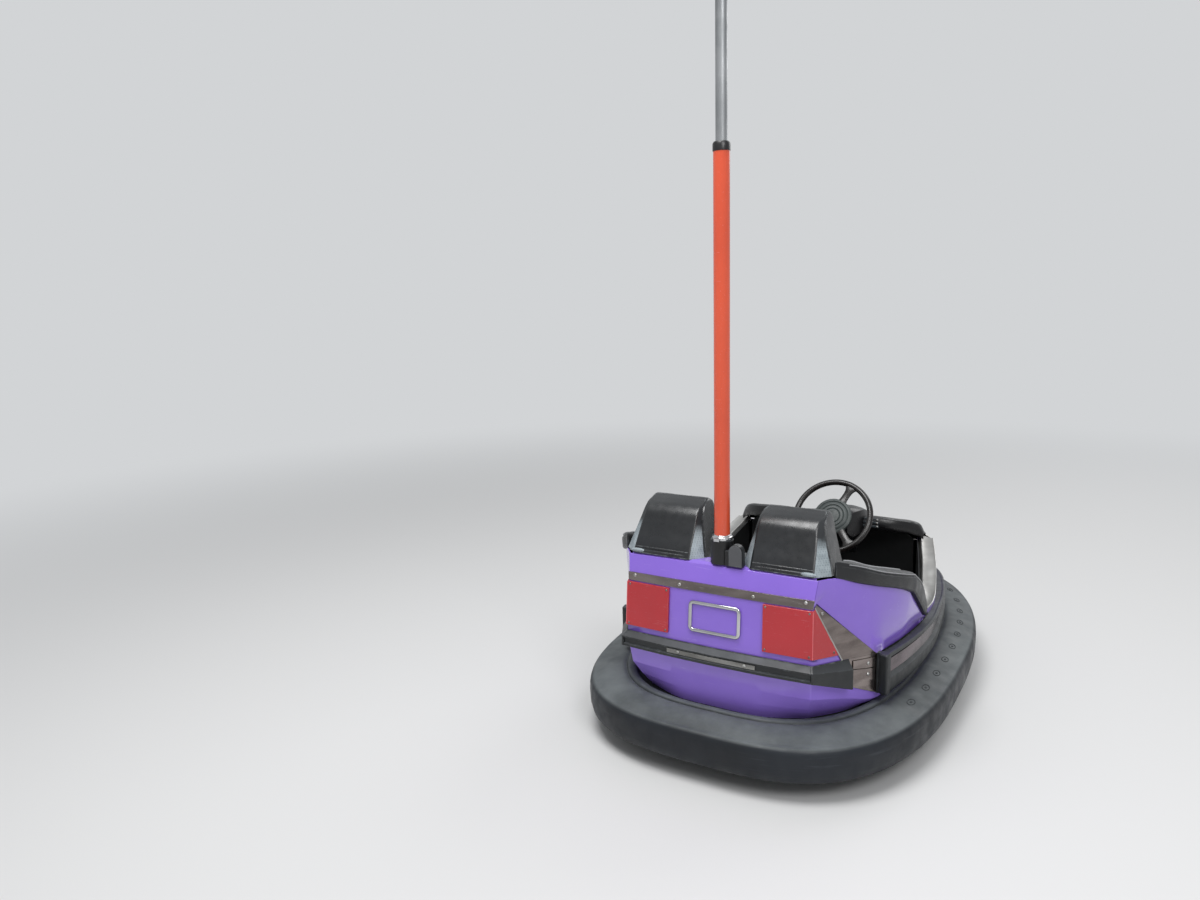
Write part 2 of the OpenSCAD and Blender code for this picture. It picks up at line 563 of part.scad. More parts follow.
pleats = 9;
pad_len = back_len - 20;
module seat_pad() {
  n = pleats * 4;
  // pleat line places along the back, and the pad's outer edge there
  us = [for (i = [0:n]) i / n];
  face = [for (u = us) let (s = 4 + pad_len * u, d = 16 + 13 * pow(abs(sin(180 * pleats * u)), 0.7),
    w = lerp(352, 308, u))
    [on_back(66, s, 12), on_back(72, s, d), on_back(w - 6, s, d), on_back(w, s, 12)]];
  rear = [for (u = us) let (s = 4 + pad_len * u, w = lerp(352, 308, u)) [for (x = [66, 72, w - 6,
    w]) on_back(x, s, g)]];
  color([0.1, 0.1, 0.11]) sheet(face, rear);
}
module seat_backs() { pair() seat_pad(); }

seat_y = [250 * ky, 490 * ky];
seat_x = 370 * kx;
base_h = 98 * kz;
module seat_base() {
  color([0.09, 0.09, 0.1]) translate([0, 0, pan_top + g]) difference() {
    translate([-seat_x, seat_y[0], 0]) cube([2 * seat_x, seat_y[1] - seat_y[0], base_h]);
    translate([6 - seat_x, seat_y[0] + 6, -1]) cube([2 * seat_x - 12, seat_y[1] - seat_y[0] - 12,
      base_h - 5]);
  }
}
module seat_cushion() {
  z = pan_top + base_h + 2 * g;
  color([0.1, 0.1, 0.11]) translate([4 - seat_x, 0, 0]) rotate([90, 0, 90]) linear_extrude(2 * seat_x - 8)
    polygon([[seat_y[0] + 2, z], [484 * ky, z], [470 * ky, z + 35], [300 * ky, z + 59], [seat_y[0] + 6,
      z + 47]]);
}

// padded rail on the quarter panel's edge, columns: place on that edge, width, height
rail_rows = [[1, 6, 62], [2, 40, 82], [3, rail_width, 79], [4, rail_width, 79], [5, rail_width, 86],
  [6, rail_width, 106], [7, rail_width - 4, 72]];
// section of the rail as shares of its width and height
rail_shape = [[0.02, 0], [-0.26, 0.08], [-0.3, 0.68], [-0.2, 0.88], [0.1, 1], [0.6, 1], [0.9, 0.88],
  [1, 0.68], [1, 0]];
module side_rail() {
  color([0.1, 0.1, 0.11]) bar([for (r = rail_rows) [for (q = rail_shape)
    quarter_top[r[0]] + q[0] * r[1] * inward(r[0]) + [0, 0, 2 * g + q[1] * r[2]]]]);
}
module side_rails() { pair() side_rail(); }

// steering
shaft_r = 9;
module steering_column() {
  color([0.1, 0.1, 0.1]) difference() {
    along_column() difference() {
      translate([0, 0, -360]) cylinder(r = column_r, h = 316);
      translate([0, 0, -80]) cylinder(r = shaft_r + 0.05, h = 50);
    }
    translate([-500, wall_y + g - 500, 0]) cube([1000, 500, 1000]);
  }
}
module steering_wheel() {
  color([0.08, 0.08, 0.08]) along_column() {
    rotate_extrude($fn = 48) translate([wheel_r, 0]) circle(rim_r, $fn = 12);
    translate([0, 0, -38]) cylinder(r = 22, h = 30);
    translate([0, 0, -78]) cylinder(r = shaft_r, h = 50);
    translate([0, 0, -10]) cylinder(r = 71, h = 16, $fn = 40);
    for (a = [8, 128, 248]) rotate([0, 0, a]) translate([60, -13, -7]) cube([wheel_r - 64, 26, 12]);
  }
}
module drive_pedal() {
  color([0.4, 0.4, 0.4]) translate([-145, -200 * ky, pan_top + g]) rotate([90, 0, 90])
    linear_extrude(70) polygon([[0, 0], [0, 8], [-80, 60], [-84, 54], [-26, 12], [-26, 0]]);
}

// pole
pole_y = 766 * ky;
socket_h = 72;
sleeve_low = deck_height + socket_h;
sleeve_top = pole_top - 490;
module pole_socket() {
  color([0.09, 0.09, 0.1]) translate([0, pole_y, deck_height + g]) {
    cylinder(r = 35, h = socket_h - g);
    // box for the cable beside the socket
    translate([-80, 14, 0]) cube([56, 20, 46]);
    translate([-58, 34, 46]) rotate([90, 0, 0]) cylinder(r = 22, h = 20);
  }
}
module pole_sleeve() {
  color([0.85, 0.25, 0.13]) translate([0, pole_y, sleeve_low + g]) difference() {
    cylinder(r = sleeve_r, h = sleeve_top - sleeve_low - g);
    translate([0, 0, 4]) cylinder(r = tube_r + g, h = sleeve_top);
  }
}
contact_h = 60;
module pole_tube() {
  color([0.6, 0.6, 0.6]) translate([0, pole_y, sleeve_top - 300])
    cylinder(r = tube_r, h = pole_top - contact_h - sleeve_top + 300);
}
module roof_contact() {
  color([0.1, 0.1, 0.1]) translate([0, pole_y, pole_top - contact_h + g]) cylinder(r = 45,
    h = contact_h - g);
}

// running gear
rear_x = 262 * kx;
module rear_axle() {
  color([0.5, 0.5, 0.52]) translate([-rear_x - 26, axle_y, axle_z]) rotate([0, 90, 0])
    cylinder(r = axle_r, h = 2 * rear_x + 52);
}
module rear_wheel() {
  color([0.15, 0.15, 0.15]) translate([rear_x - 20, axle_y, axle_z]) rotate([0, 90, 0]) difference() {
    cylinder(r = rear_r, h = 40);
    translate([0, 0, -1]) cylinder(r = axle_r + 0.05, h = 42);
  }
}
module rear_wheel_left() { rear_wheel(); }
module rear_wheel_right() { mirror([1, 0, 0]) rear_wheel(); }

bearing_h = 10;
module swivel_bearing() {
  color([0.45, 0.45, 0.46]) translate([0, drive_y, pan_top + g]) difference() {
    cylinder(r = hole_r + 22, h = bearing_h);
    translate([0, 0, -1]) cylinder(r = hole_r, h = bearing_h + 2);
  }
}
plate_z = pan_top + bearing_h + 2 * g;
fork_x = 38;
drive_axle_r = 8;
module drive_fork() {
  color([0.3, 0.3, 0.32]) translate([0, drive_y, 0]) {
    translate([0, 0, plate_z]) cylinder(r = hole_r + 18, h = 10);
    for (s = [-1, 1]) difference() {
      translate([s * fork_x - 4, -26, drive_r - 22]) cube([8, 52, plate_z + 1 - drive_r + 22]);
      translate([s * fork_x - 5, 0, drive_r]) rotate([0, 90, 0]) cylinder(r = drive_axle_r + g, h = 10);
    }
  }
}
module drive_motor() {
  color([0.33, 0.35, 0.36]) translate([0, drive_y, plate_z + 10 + g]) {
    cylinder(r = motor_r, h = 160);
    translate([0, 0, 159]) cylinder(r = motor_r * 0.6, h = 24);
  }
}
module drive_axle() {
  color([0.55, 0.55, 0.56]) translate([-50, drive_y, drive_r]) rotate([0, 90, 0])
    cylinder(r = drive_axle_r, h = 100);
}
tyre_w = 50;
hub_r = drive_r - 25;
module drive_wheel_hub() {
  color([0.5, 0.5, 0.5]) translate([-tyre_w / 2, drive_y, drive_r]) rotate([0, 90, 0]) difference() {
    cylinder(r = hub_r, h = tyre_w);
    translate([0, 0, -1]) cylinder(r = drive_axle_r + 0.05, h = tyre_w + 2);
  }
}
module drive_wheel_tyre() {
  color([0.12, 0.12, 0.12]) translate([-tyre_w / 2, drive_y, drive_r]) rotate([0, 90, 0]) difference() {
    cylinder(r = drive_r, h = tyre_w);
    translate([0, 0, -1]) cylinder(r = hub_r + g, h = tyre_w + 2);
  }
}

bumper_tyre();
bumper_band();
floor_pan();
chassis_frame();
lower_body();
rear_panel();
quarter_panels();
fenders();
hood();
hood_mesh();
front_panel();
front_strip();
rear_strip();
rear_steel_trim();
side_strips();
tail_lamps();
head_lamps();
head_lamp_trims();
hood_side_plates();
number_plate();
plate_frame();
sill_trims();
cowl();
bulkhead();
cockpit_liner();
seat_shell();
headrests();
seat_backs();
seat_base();
seat_cushion();
side_rails();
steering_column();
drive_pedal();
pole_socket();
pole_sleeve();
pole_tube();
roof_contact();
steering_wheel();
swivel_bearing();
drive_fork();
drive_motor();
drive_axle();
drive_wheel_hub();
drive_wheel_tyre();
rear_axle();
rear_wheel_left();
rear_wheel_right();
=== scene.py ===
"""Looks of a two-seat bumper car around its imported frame. Shapes are drawn in millimetres in the frame's axes."""

import math

import bmesh
import bpy
from mathutils import Matrix, Vector


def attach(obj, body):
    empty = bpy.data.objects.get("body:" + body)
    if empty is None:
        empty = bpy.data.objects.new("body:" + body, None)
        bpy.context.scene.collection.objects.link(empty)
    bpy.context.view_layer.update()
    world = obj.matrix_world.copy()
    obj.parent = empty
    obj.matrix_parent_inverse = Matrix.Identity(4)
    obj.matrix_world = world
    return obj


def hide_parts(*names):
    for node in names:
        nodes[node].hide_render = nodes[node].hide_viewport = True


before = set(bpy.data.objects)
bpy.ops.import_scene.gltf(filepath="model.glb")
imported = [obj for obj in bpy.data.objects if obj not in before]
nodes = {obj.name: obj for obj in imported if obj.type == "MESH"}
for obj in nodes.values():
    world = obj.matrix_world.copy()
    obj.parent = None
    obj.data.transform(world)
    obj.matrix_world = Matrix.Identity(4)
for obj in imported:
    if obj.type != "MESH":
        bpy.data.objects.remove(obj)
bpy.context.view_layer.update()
scene = bpy.context.scene

# Camera at the photograph's place


def photo_camera():
    forward = Vector((0.5194, -0.8360, -0.1767)).normalized()
    level_right = Vector((-0.8494, -0.5277, 0.0)).normalized()
    level_up = level_right.cross(forward)
    roll = -0.0259
    right = level_right * math.cos(roll) + level_up * math.sin(roll)
    up = level_up * math.cos(roll) - level_right * math.sin(roll)
    turn = Matrix((right, up, -forward)).transposed()
    data = bpy.data.cameras.new("photo_camera")
    data.sensor_width = 36
    data.lens = 27.07
    camera = bpy.data.objects.new("photo_camera", data)
    camera.matrix_world = Matrix.Translation((-1.090, 3.211, 1.467)) @ turn.to_4x4()
    scene.collection.objects.link(camera)
    scene.camera = camera


photo_camera()

# Material helpers


def colour(code):
    """A colour from its six-figure code, as the shader takes it."""
    parts = [int(code[i : i + 2], 16) / 255 for i in (0, 2, 4)]
    return tuple(p / 12.92 if p <= 0.04045 else ((p + 0.055) / 1.055) ** 2.4 for p in parts) + (1.0,)


class Tree:
    """A node tree that is written as chained calls."""

    def __init__(self, tree):
        self.tree = tree

    def node(self, kind, values=None, **settings):
        made = self.tree.nodes.new(kind)
        for key, value in settings.items():
            setattr(made, key, value)
        for key, value in (values or {}).items():
            self.feed(made.inputs[key], value)
        return made

    def feed(self, socket, value):
        if isinstance(value, bpy.types.NodeSocket):
            self.tree.links.new(value, socket)
        else:
            socket.default_value = value

    def math(self, operation, a, b=0.0, clamp=False):
        made = self.node("ShaderNodeMath", {0: a, 1: b}, operation=operation, use_clamp=clamp)
        return made.outputs[0]

    def add(self, value, other, share):
        """A value plus a share of another one."""
        return self.math("ADD", value, self.math("MULTIPLY", other, share))

    def spread(self, value, low, high, to_low=0.0, to_high=1.0):
        values = {"Value": value, "From Min": low, "From Max": high, "To Min": to_low, "To Max": to_high}
        return self.node("ShaderNodeMapRange", values, interpolation_type="SMOOTHSTEP").outputs["Result"]

    def mix(self, share, a, b):
        made = self.node("ShaderNodeMix", data_type="RGBA")
        self.feed(made.inputs[0], share)
        self.feed(made.inputs[6], a)
        self.feed(made.inputs[7], b)
        return made.outputs[2]

    def tint(self, base, mask, share, code):
        """A base colour drawn towards another one by a share of the mask."""
        return self.mix(self.math("MULTIPLY", mask, share), base, colour(code))

    def place(self, scale=(1, 1, 1)):
        """Points of the piece itself, so that a finish stays on it at every pose."""
        where = self.node("ShaderNodeTexCoord").outputs["Object"]
        return self.node("ShaderNodeMapping", {"Vector": where, "Scale": scale}).outputs["Vector"]

    def noise(self, where, scale, detail=3.0, roughness=0.55):
        values = {"Vector": where, "Scale": scale, "Detail": detail, "Roughness": roughness}
        return self.node("ShaderNodeTexNoise", values).outputs["Fac"]

    def group(self, made, values):
        node = self.node("ShaderNodeGroup", node_tree=made)
        for key, value in values.items():
            self.feed(node.inputs[key], value)
        return node.outputs


def effect(name, inputs, outputs, build):
    """A node group with named sockets; build gets its tree and its input sockets and returns its outputs."""
    group = bpy.data.node_groups.new(name, "ShaderNodeTree")
    for label, start in inputs.items():
        group.interface.new_socket(label, in_out="INPUT", socket_type="NodeSocketFloat").default_value = start
    for label in outputs:
        group.interface.new_socket(label, in_out="OUTPUT", socket_type="NodeSocketFloat")
    tree = Tree(group)
    given = tree.node("NodeGroupInput").outputs
    made = build(tree, given)
    out = tree.node("NodeGroupOutput")
    for label, value in zip(outputs, made):
        tree.feed(out.inputs[label], value)
    return group


# Effects that several finishes share


# Pale edge mask: broken worn edges where Wear is low; at a Wear of 1 it runs nearly unbroken as a painted highlight
# along the edges.
def build_edge_wear_and_highlight(t, given):
    rounded = t.node("ShaderNodeBevel", {"Radius": given["Reach"]}, samples=6).outputs["Normal"]
    flat = t.node("ShaderNodeNewGeometry").outputs["Normal"]
    facing = t.node("ShaderNodeVectorMath", {0: rounded, 1: flat}, operation="DOT_PRODUCT").outputs["Value"]
    turned = t.math("SUBTRACT", 1.0, facing)
    patchy = t.noise(t.place(), given["Scale"], 5.0, 0.65)
    edge = t.spread(turned, 0.004, 0.09)
    broken = t.spread(patchy, t.math("SUBTRACT", 0.72, t.math("MULTIPLY", given["Wear"], 0.4)), 0.78)
    return [t.math("MULTIPLY", edge, broken, True)]


def build_dust(t, given):
    up = t.node("ShaderNodeSeparateXYZ", {0: t.node("ShaderNodeNewGeometry").outputs["Normal"]}).outputs["Z"]
    level = t.spread(up, given["Slope"], 1.0)
    cloud = t.noise(t.place(), given["Scale"], 6.0, 0.62)
    patches = t.spread(cloud, 0.32, 0.68)
    share = t.math("MULTIPLY", level, t.add(0.45, patches, 0.55))
    return [t.math("MULTIPLY", share, given["Amount"], True)]


def build_scratches(t, given):
    one = t.noise(t.place((1.5, 34.0, 26.0)), given["Scale"], 3.0, 0.55)
    two = t.noise(t.place((26.0, 2.0, 38.0)), given["Scale"], 3.0, 0.55)
    lines = [t.spread(v, 0.665, 0.71) for v in (one, two)]
    both = t.math("MAXIMUM", *lines)
    return [t.math("MULTIPLY", both, given["Amount"], True)]


def build_stains(t, given):
    wide = t.noise(t.place(), given["Scale"], 4.0, 0.6)
    small = t.noise(t.place(), t.math("MULTIPLY", given["Scale"], 7.0), 3.0, 0.5)
    return [t.spread(wide, 0.3, 0.7), t.spread(small, 0.25, 0.75)]


def build_grain(t, given):
    values = {"Vector": t.place(), "Scale": given["Scale"]}
    cells = t.node("ShaderNodeTexVoronoi", values, feature="DISTANCE_TO_EDGE")
    fine_part = t.noise(t.place(), t.math("MULTIPLY", given["Scale"], 2.3), 2.0)
    height = t.spread(cells.outputs["Distance"], 0.0, 0.28)
    return [t.add(height, fine_part, 0.5)]


def build_brushing(t, given):
    lines = t.noise(t.place((1.0, 1.0, 60.0)), given["Scale"], 2.0, 0.7)
    return [t.spread(lines, 0.3, 0.7)]


edge_wear_and_highlight = effect("edge wear and highlight", {"Reach": 0.004, "Scale": 40.0, "Wear": 0.5}, ["Mask"], build_edge_wear_and_highlight)
settled_dust = effect("settled dust", {"Slope": 0.3, "Scale": 5.0, "Amount": 0.5}, ["Mask"], build_dust)
fine_scratches = effect("fine scratches", {"Scale": 12.0, "Amount": 0.5}, ["Mask"], build_scratches)
stains = effect("stains", {"Scale": 4.0}, ["Wide", "Small"], build_stains)
vinyl_grain = effect("vinyl grain", {"Scale": 700.0}, ["Height"], build_grain)
brushed_lines = effect("brushed lines", {"Scale": 20.0}, ["Lines"], build_brushing)


# every material by its name
finishes = {}


class Finish(Tree):
    """A material whose shader stays in it; its effects are groups."""

    def __init__(self, name, **plain):
        self.material = bpy.data.materials.new(name)
        self.material.use_nodes = True
        super().__init__(self.material.node_tree)
        finishes[name] = self.material
        self.shader = self.tree.nodes["Principled BSDF"]
        for key, value in plain.items():
            self.shader.inputs[key.replace("_", " ")].default_value = value

    def paint(self, value):
        self.feed(self.shader.inputs["Base Color"], value)

    def rough(self, value):
        self.feed(self.shader.inputs["Roughness"], value)

    def bump(self, height, distance, strength=1.0):
        values = {"Height": height, "Distance": distance, "Strength": strength}
        self.feed(self.shader.inputs["Normal"], self.node("ShaderNodeBump", values).outputs["Normal"])


def gloss_panel(slot, main, deep, dust=0.18, rough=0.13, edge="C9C2DA", wear=0.3):
    """Moulded gloss panel with light scuffs, a little dust and paler edges: worn corners at a low wear, a painted
    highlight along the whole edge at a wear of 1.
    """
    f = Finish(slot, Coat_Weight=0.4, Coat_Roughness=0.05)
    wide, small = f.group(stains, {"Scale": 2.6})
    edges = f.group(edge_wear_and_highlight, {"Reach": 0.003, "Scale": 60.0, "Wear": wear})["Mask"]
    powder = f.group(settled_dust, {"Slope": 0.3, "Scale": 6.0, "Amount": dust})["Mask"]
    lines = f.group(fine_scratches, {"Scale": 9.0, "Amount": 0.5})["Mask"]
    base = f.mix(f.math("MULTIPLY", wide, 0.6), colour(main), colour(deep))
    # paler edges: worn paint, and at a wear of 1 a painted highlight
    base = f.tint(base, edges, 0.4 + 0.3 * wear, edge)
    base = f.tint(base, lines, 0.14, "D8D4E4")
    f.paint(f.mix(powder, base, colour("A39DB0")))
    worn = f.add(rough, small, 0.07)
    worn = f.add(worn, lines, 0.2)
    f.rough(f.add(worn, powder, 0.4))
    f.bump(wide, 0.0006, 0.25)


def black_plastic(slot, main, worn, rough, dust, grain=0.0, wear=0.5, reach=0.005, shine=0.35):
    """Moulded black part: paler worn edges, settled dust and a fine grain."""
    f = Finish(slot, Specular_IOR_Level=shine)
    wide, small = f.group(stains, {"Scale": 5.0})
    edges = f.group(edge_wear_and_highlight, {"Reach": reach, "Scale": 45.0, "Wear": wear})["Mask"]
    powder = f.group(settled_dust, {"Slope": 0.35, "Scale": 7.0, "Amount": dust})["Mask"]
    base = f.mix(f.math("MULTIPLY", wide, 0.5), colour(main), colour(worn))
    base = f.tint(base, edges, 0.5, "8A8F92")
    f.paint(f.mix(powder, base, colour("74787C")))
    f.rough(f.math("ADD", rough, f.math("MULTIPLY", f.math("ADD", small, powder), 0.14)))
    if grain:
        f.bump(f.group(vinyl_grain, {"Scale": 650.0})["Height"], grain, 0.5)
    else:
        f.bump(small, 0.0004, 0.3)


def bare_metal(slot, main, dark, rough, polish=0.0, brushed=0.6, blotch=0.8):
    """Bare or plated metal with brushing, smears and dull spots."""
    f = Finish(slot, Metallic=1.0)
    wide, small = f.group(stains, {"Scale": 5.0})
    lines = f.group(brushed_lines, {"Scale": 14.0})["Lines"]
    scores = f.group(fine_scratches, {"Scale": 30.0, "Amount": 1.0 - polish})["Mask"]
    base = f.mix(f.math("MULTIPLY", wide, blotch), colour(main), colour(dark))
    base = f.tint(base, lines, 0.3 * brushed, dark)
    f.paint(f.tint(base, scores, 0.45, "C9C7C3"))
    dull = f.math("ADD", rough, f.math("MULTIPLY", small, 0.1 * (1 - polish)))
    f.rough(f.add(dull, lines, 0.12 * brushed))
    f.bump(lines, 0.0002, 0.25 * brushed)


def plate_steel(slot, main, dark):
    """Thin sheet steel, smooth and mirror-like, with long soft streaks, a few bright scores and a painted highlight
    along its edges.
    """
    f = Finish(slot, Metallic=1.0)
    streaks = f.noise(f.place((1.4, 1.4, 9.0)), 3.5, 2.0, 0.5)
    smears = f.group(stains, {"Scale": 3.5})["Wide"]
    scores = f.group(fine_scratches, {"Scale": 22.0, "Amount": 1.0})["Mask"]
    edges = f.group(edge_wear_and_highlight, {"Reach": 0.0015, "Scale": 60.0, "Wear": 1.0})["Mask"]
    share = f.math("MULTIPLY", f.math("ADD", f.spread(streaks, 0.35, 0.65), smears), 0.5)
    base = f.mix(share, colour(main), colour(dark))
    base = f.tint(base, scores, 0.6, "D2D0CC")
    # painted highlight: a pale line along every edge of the plate
    f.paint(f.tint(base, edges, 0.7, "D8D5D0"))
    f.rough(f.add(0.16, smears, 0.14))
    f.bump(smears, 0.0004, 0.2)


def ring_rubber():
    """Rubber of the ring: dark scuffed wall, much paler grey-green on the level top."""
    f = Finish("tyre_rubber", Specular_IOR_Level=0.4)
    wide, small = f.group(stains, {"Scale": 3.0})
    powder = f.group(settled_dust, {"Slope": 0.5, "Scale": 4.0, "Amount": 0.85})["Mask"]
    edges = f.group(edge_wear_and_highlight, {"Reach": 0.012, "Scale": 25.0, "Wear": 0.8})["Mask"]
    around = f.noise(f.place((1.2, 1.2, 22.0)), 4.0, 6.0, 0.65)
    scuffs = f.spread(around, 0.58, 0.74)
    base = f.mix(wide, colour("0E1218"), colour("1A1F26"))
    base = f.tint(base, scuffs, 0.3, "4A5056")
    base = f.tint(base, edges, 0.3, "6E7376")
    f.paint(f.tint(base, powder, 0.72, "7C8283"))
    f.rough(f.math("ADD", 0.4, f.math("MULTIPLY", f.math("ADD", small, powder), 0.2)))
    f.bump(f.add(around, small, 0.6), 0.0012, 0.4)


def seat_cover():
    """Grained black vinyl, polished where riders sit."""
    f = Finish("seat_vinyl", Sheen_Weight=0.12, Sheen_Roughness=0.5, Specular_IOR_Level=0.4)
    wide, small = f.group(stains, {"Scale": 6.0})
    powder = f.group(settled_dust, {"Slope": 0.35, "Scale": 9.0, "Amount": 0.16})["Mask"]
    base = f.mix(wide, colour("101113"), colour("1C1D20"))
    f.paint(f.mix(powder, base, colour("6E7072")))
    f.rough(f.add(0.36, small, 0.16))
    f.bump(f.group(vinyl_grain, {"Scale": 520.0})["Height"], 0.0005, 0.6)


def headrest_plastic():
    """Moulded black of the headrests with a smooth sheen and pale rubbed edges."""
    f = Finish("headrest_black", Specular_IOR_Level=0.65)
    wide, small = f.group(stains, {"Scale": 7.0})
    edges = f.group(edge_wear_and_highlight, {"Reach": 0.005, "Scale": 60.0, "Wear": 0.9})["Mask"]
    powder = f.group(settled_dust, {"Slope": 0.3, "Scale": 8.0, "Amount": 0.14})["Mask"]
    base = f.mix(f.math("MULTIPLY", wide, 0.6), colour("090B0E"), colour("12151A"))
    base = f.tint(base, edges, 0.7, "9DA3A6")
    f.paint(f.mix(powder, base, colour("7A7E80")))
    f.rough(f.add(0.25, small, 0.1))
    f.bump(small, 0.0003, 0.25)


# height in metres over which the headrests' pale flanks turn dark
FLANK_FADE = (0.71, 0.75)


def headrest_flanks():
    """Pale rubbed flanks of the headrests with faint dots, dark towards their top."""
    f = Finish("headrest_flank", Specular_IOR_Level=0.4)
    wide, small = f.group(stains, {"Scale": 14.0})
    height = f.node("ShaderNodeSeparateXYZ", {0: f.place()}).outputs["Z"]
    height = f.add(height, wide, 0.02)
    cells = f.node("ShaderNodeTexVoronoi", {"Vector": f.place(), "Scale": 170.0, "Randomness": 0.15})
    dots = f.spread(cells.outputs["Distance"], 0.3, 0.42, 1.0, 0.0)
    pale = f.mix(wide, colour("7C868B"), colour("A3ADB2"))
    pale = f.tint(pale, dots, 0.4, "4B5257")
    f.paint(f.mix(f.spread(height, *FLANK_FADE), pale, colour("202326")))
    f.rough(f.add(0.45, small, 0.15))
    f.bump(small, 0.0005, 0.4)


gloss_panel("body_purple", "8B69D6", "8060CA", 0.08)
# painted light: the bowl's purple is a brighter copy of the body's, so the downward-facing bowl, which gets less
# light, renders as light as the panels
gloss_panel("tub_purple", "A383EE", "9273DC", 0.12)
gloss_panel("plate_purple", "8867D2", "7E5FC8", 0.05)
# lamp plates: the pink edge tint at a wear of 1 is a painted highlight along their edges
gloss_panel("lamp_red", "B81E28", "A61822", 0.06, 0.15, "EE8E90", 1.0)
# painted highlight: the pale red of the bars along the tail lamps' folds
gloss_panel("lamp_fold_highlight", "DC6A70", "D05A60", 0.0, 0.15)
gloss_panel("lamp_yellow", "E6BC22", "D9AA1A", 0.12, 0.22)
black_plastic("steel_black", "0F1011", "1A1B1D", 0.45, 0.3)
black_plastic("strip_black", "1B1E20", "282C2E", 0.36, 0.3, wear=0.7, shine=0.5)
black_plastic("moulded_black", "131416", "212326", 0.3, 0.3, 0.0003, 0.75, 0.007, 0.5)
black_plastic("bolster_black", "1C1D1F", "28292C", 0.3, 0.06, 0.0003, 0.75, 0.007, 0.4)
black_plastic("box_grey", "4C4D50", "5C5D61", 0.36, 0.2, wear=0.8, shine=0.5)
# painted highlight: pale grey for the bolsters' piping lines
black_plastic("piping_painted_highlight", "8C8D90", "A6A7A9", 0.3, 0.2, wear=0.6, shine=0.5)
black_plastic("dash_black", "0C0B0D", "141316", 0.24, 0.08, wear=0.4, shine=0.4)
black_plastic("rib_grey", "2A3034", "3A4145", 0.35, 0.2, wear=0.6, shine=0.5)
black_plastic("cockpit_black", "0B0C0D", "121314", 0.6, 0.12)
black_plastic("wheel_black", "120E0D", "1A1615", 0.2, 0.05, wear=0.12, shine=0.5)
black_plastic("hub_green", "2E3534", "404846", 0.42, 0.2, shine=0.5)
black_plastic("contact_black", "0E0E10", "18181B", 0.3, 0.25, shine=0.5)
black_plastic("motor_grey", "55595B", "45494B", 0.45, 0.3)
black_plastic("wheel_rubber", "161718", "222324", 0.7, 0.2)
black_plastic("mark_rubber", "1E2123", "2E3235", 0.6, 0.25)
plate_steel("trim_steel", "968C88", "5E5553")
plate_steel("strip_steel", "9A9A97", "63625F")
plate_steel("recess_steel", "6E6266", "3A3336")
bare_metal("bright_steel", "C6C6C4", "9C9A97", 0.3)
bare_metal("grille_grey", "77787B", "4A4B4E", 0.35)
bare_metal("chrome_trim", "D2D2D4", "A9A9AC", 0.08, 1.0, 0.0)
bare_metal("pole_steel", "A9ABAD", "85888A", 0.38)
bare_metal("machine_steel", "6C6D70", "3F4042", 0.4)
gloss_panel("pole_red", "DB5433", "C9472A", 0.05, 0.14)
ring_rubber()
seat_cover()
headrest_plastic()
headrest_flanks()

# Shape helpers, all in millimetres
MM = 0.001
# points closer than this, in metres, are one
WELD = 0.00002


def lerp(p, q, t):
    return p + (q - p) * t


def at(x, y, z):
    return Vector((x, y, z))


def fine(row, n, sharp=()):
    """Points on a smooth line through a row, n to each gap, with corners only at the sharp places."""
    gaps = [(row[i + 1] - row[i]).length or 1e-6 for i in range(len(row) - 1)]
    slopes = [(row[i + 1] - row[i]) / gaps[i] for i in range(len(row) - 1)]

    def slope(i, gap):
        if i in sharp or i in (0, len(row) - 1):
            return slopes[gap]
        return (slopes[i - 1] * gaps[i] + slopes[i] * gaps[i - 1]) / (gaps[i - 1] + gaps[i])

    points = []
    for i, d in enumerate(gaps):
        a, c = slope(i, i) * d, slope(i + 1, i) * d
        for k in range(n):
            t = k / n
            s = 1 - t
            points.append(
                row[i] * (1 + 2 * t) * s * s + a * t * s * s + row[i + 1] * t * t * (3 - 2 * t) - c * t * t * s
            )
    return points + [row[-1].copy()]


def fine_down(rows, n, sharp=()):
    """The same, across the rows of a grid."""
    columns = [fine([r[c] for r in rows], n, sharp) for c in range(len(rows[0]))]
    return [[c[i] for c in columns] for i in range(len(columns[0]))]


def turns(n):
    """Angles at even steps round a circle."""
    return [2 * math.pi * k / n for k in range(n)]


def hoop(p, side, up, n=8):
    """Points round a place, as far out as the two directions reach."""
    return [p + side * math.cos(a) + up * math.sin(a) for a in turns(n)]


def ways(line):
    """The direction of a line at each of its points."""
    last = len(line) - 1
    return [(line[min(k + 1, last)] - line[max(k - 1, 0)]).normalized() for k in range(last + 1)]


def both(row):
    """A row given from the middle outwards, made full width."""
    return [at(-p.x, p.y, p.z) for p in reversed(row[1:])] + [p.copy() for p in row]


class Inner(tuple):
    """A face on the inside of a panel, which takes the lining's finish."""


def mirrored(shape):
    points, faces = shape
    return [at(-p.x, p.y, p.z) for p in points], [type(f)(reversed(f)) for f in faces]


def joined(*shapes):
    points, faces = [], []
    for more, rings in shapes:
        faces += [type(f)(i + len(points) for i in f) for f in rings]
        points += more
    return points, faces


def pair(shape):
    return joined(shape, mirrored(shape))


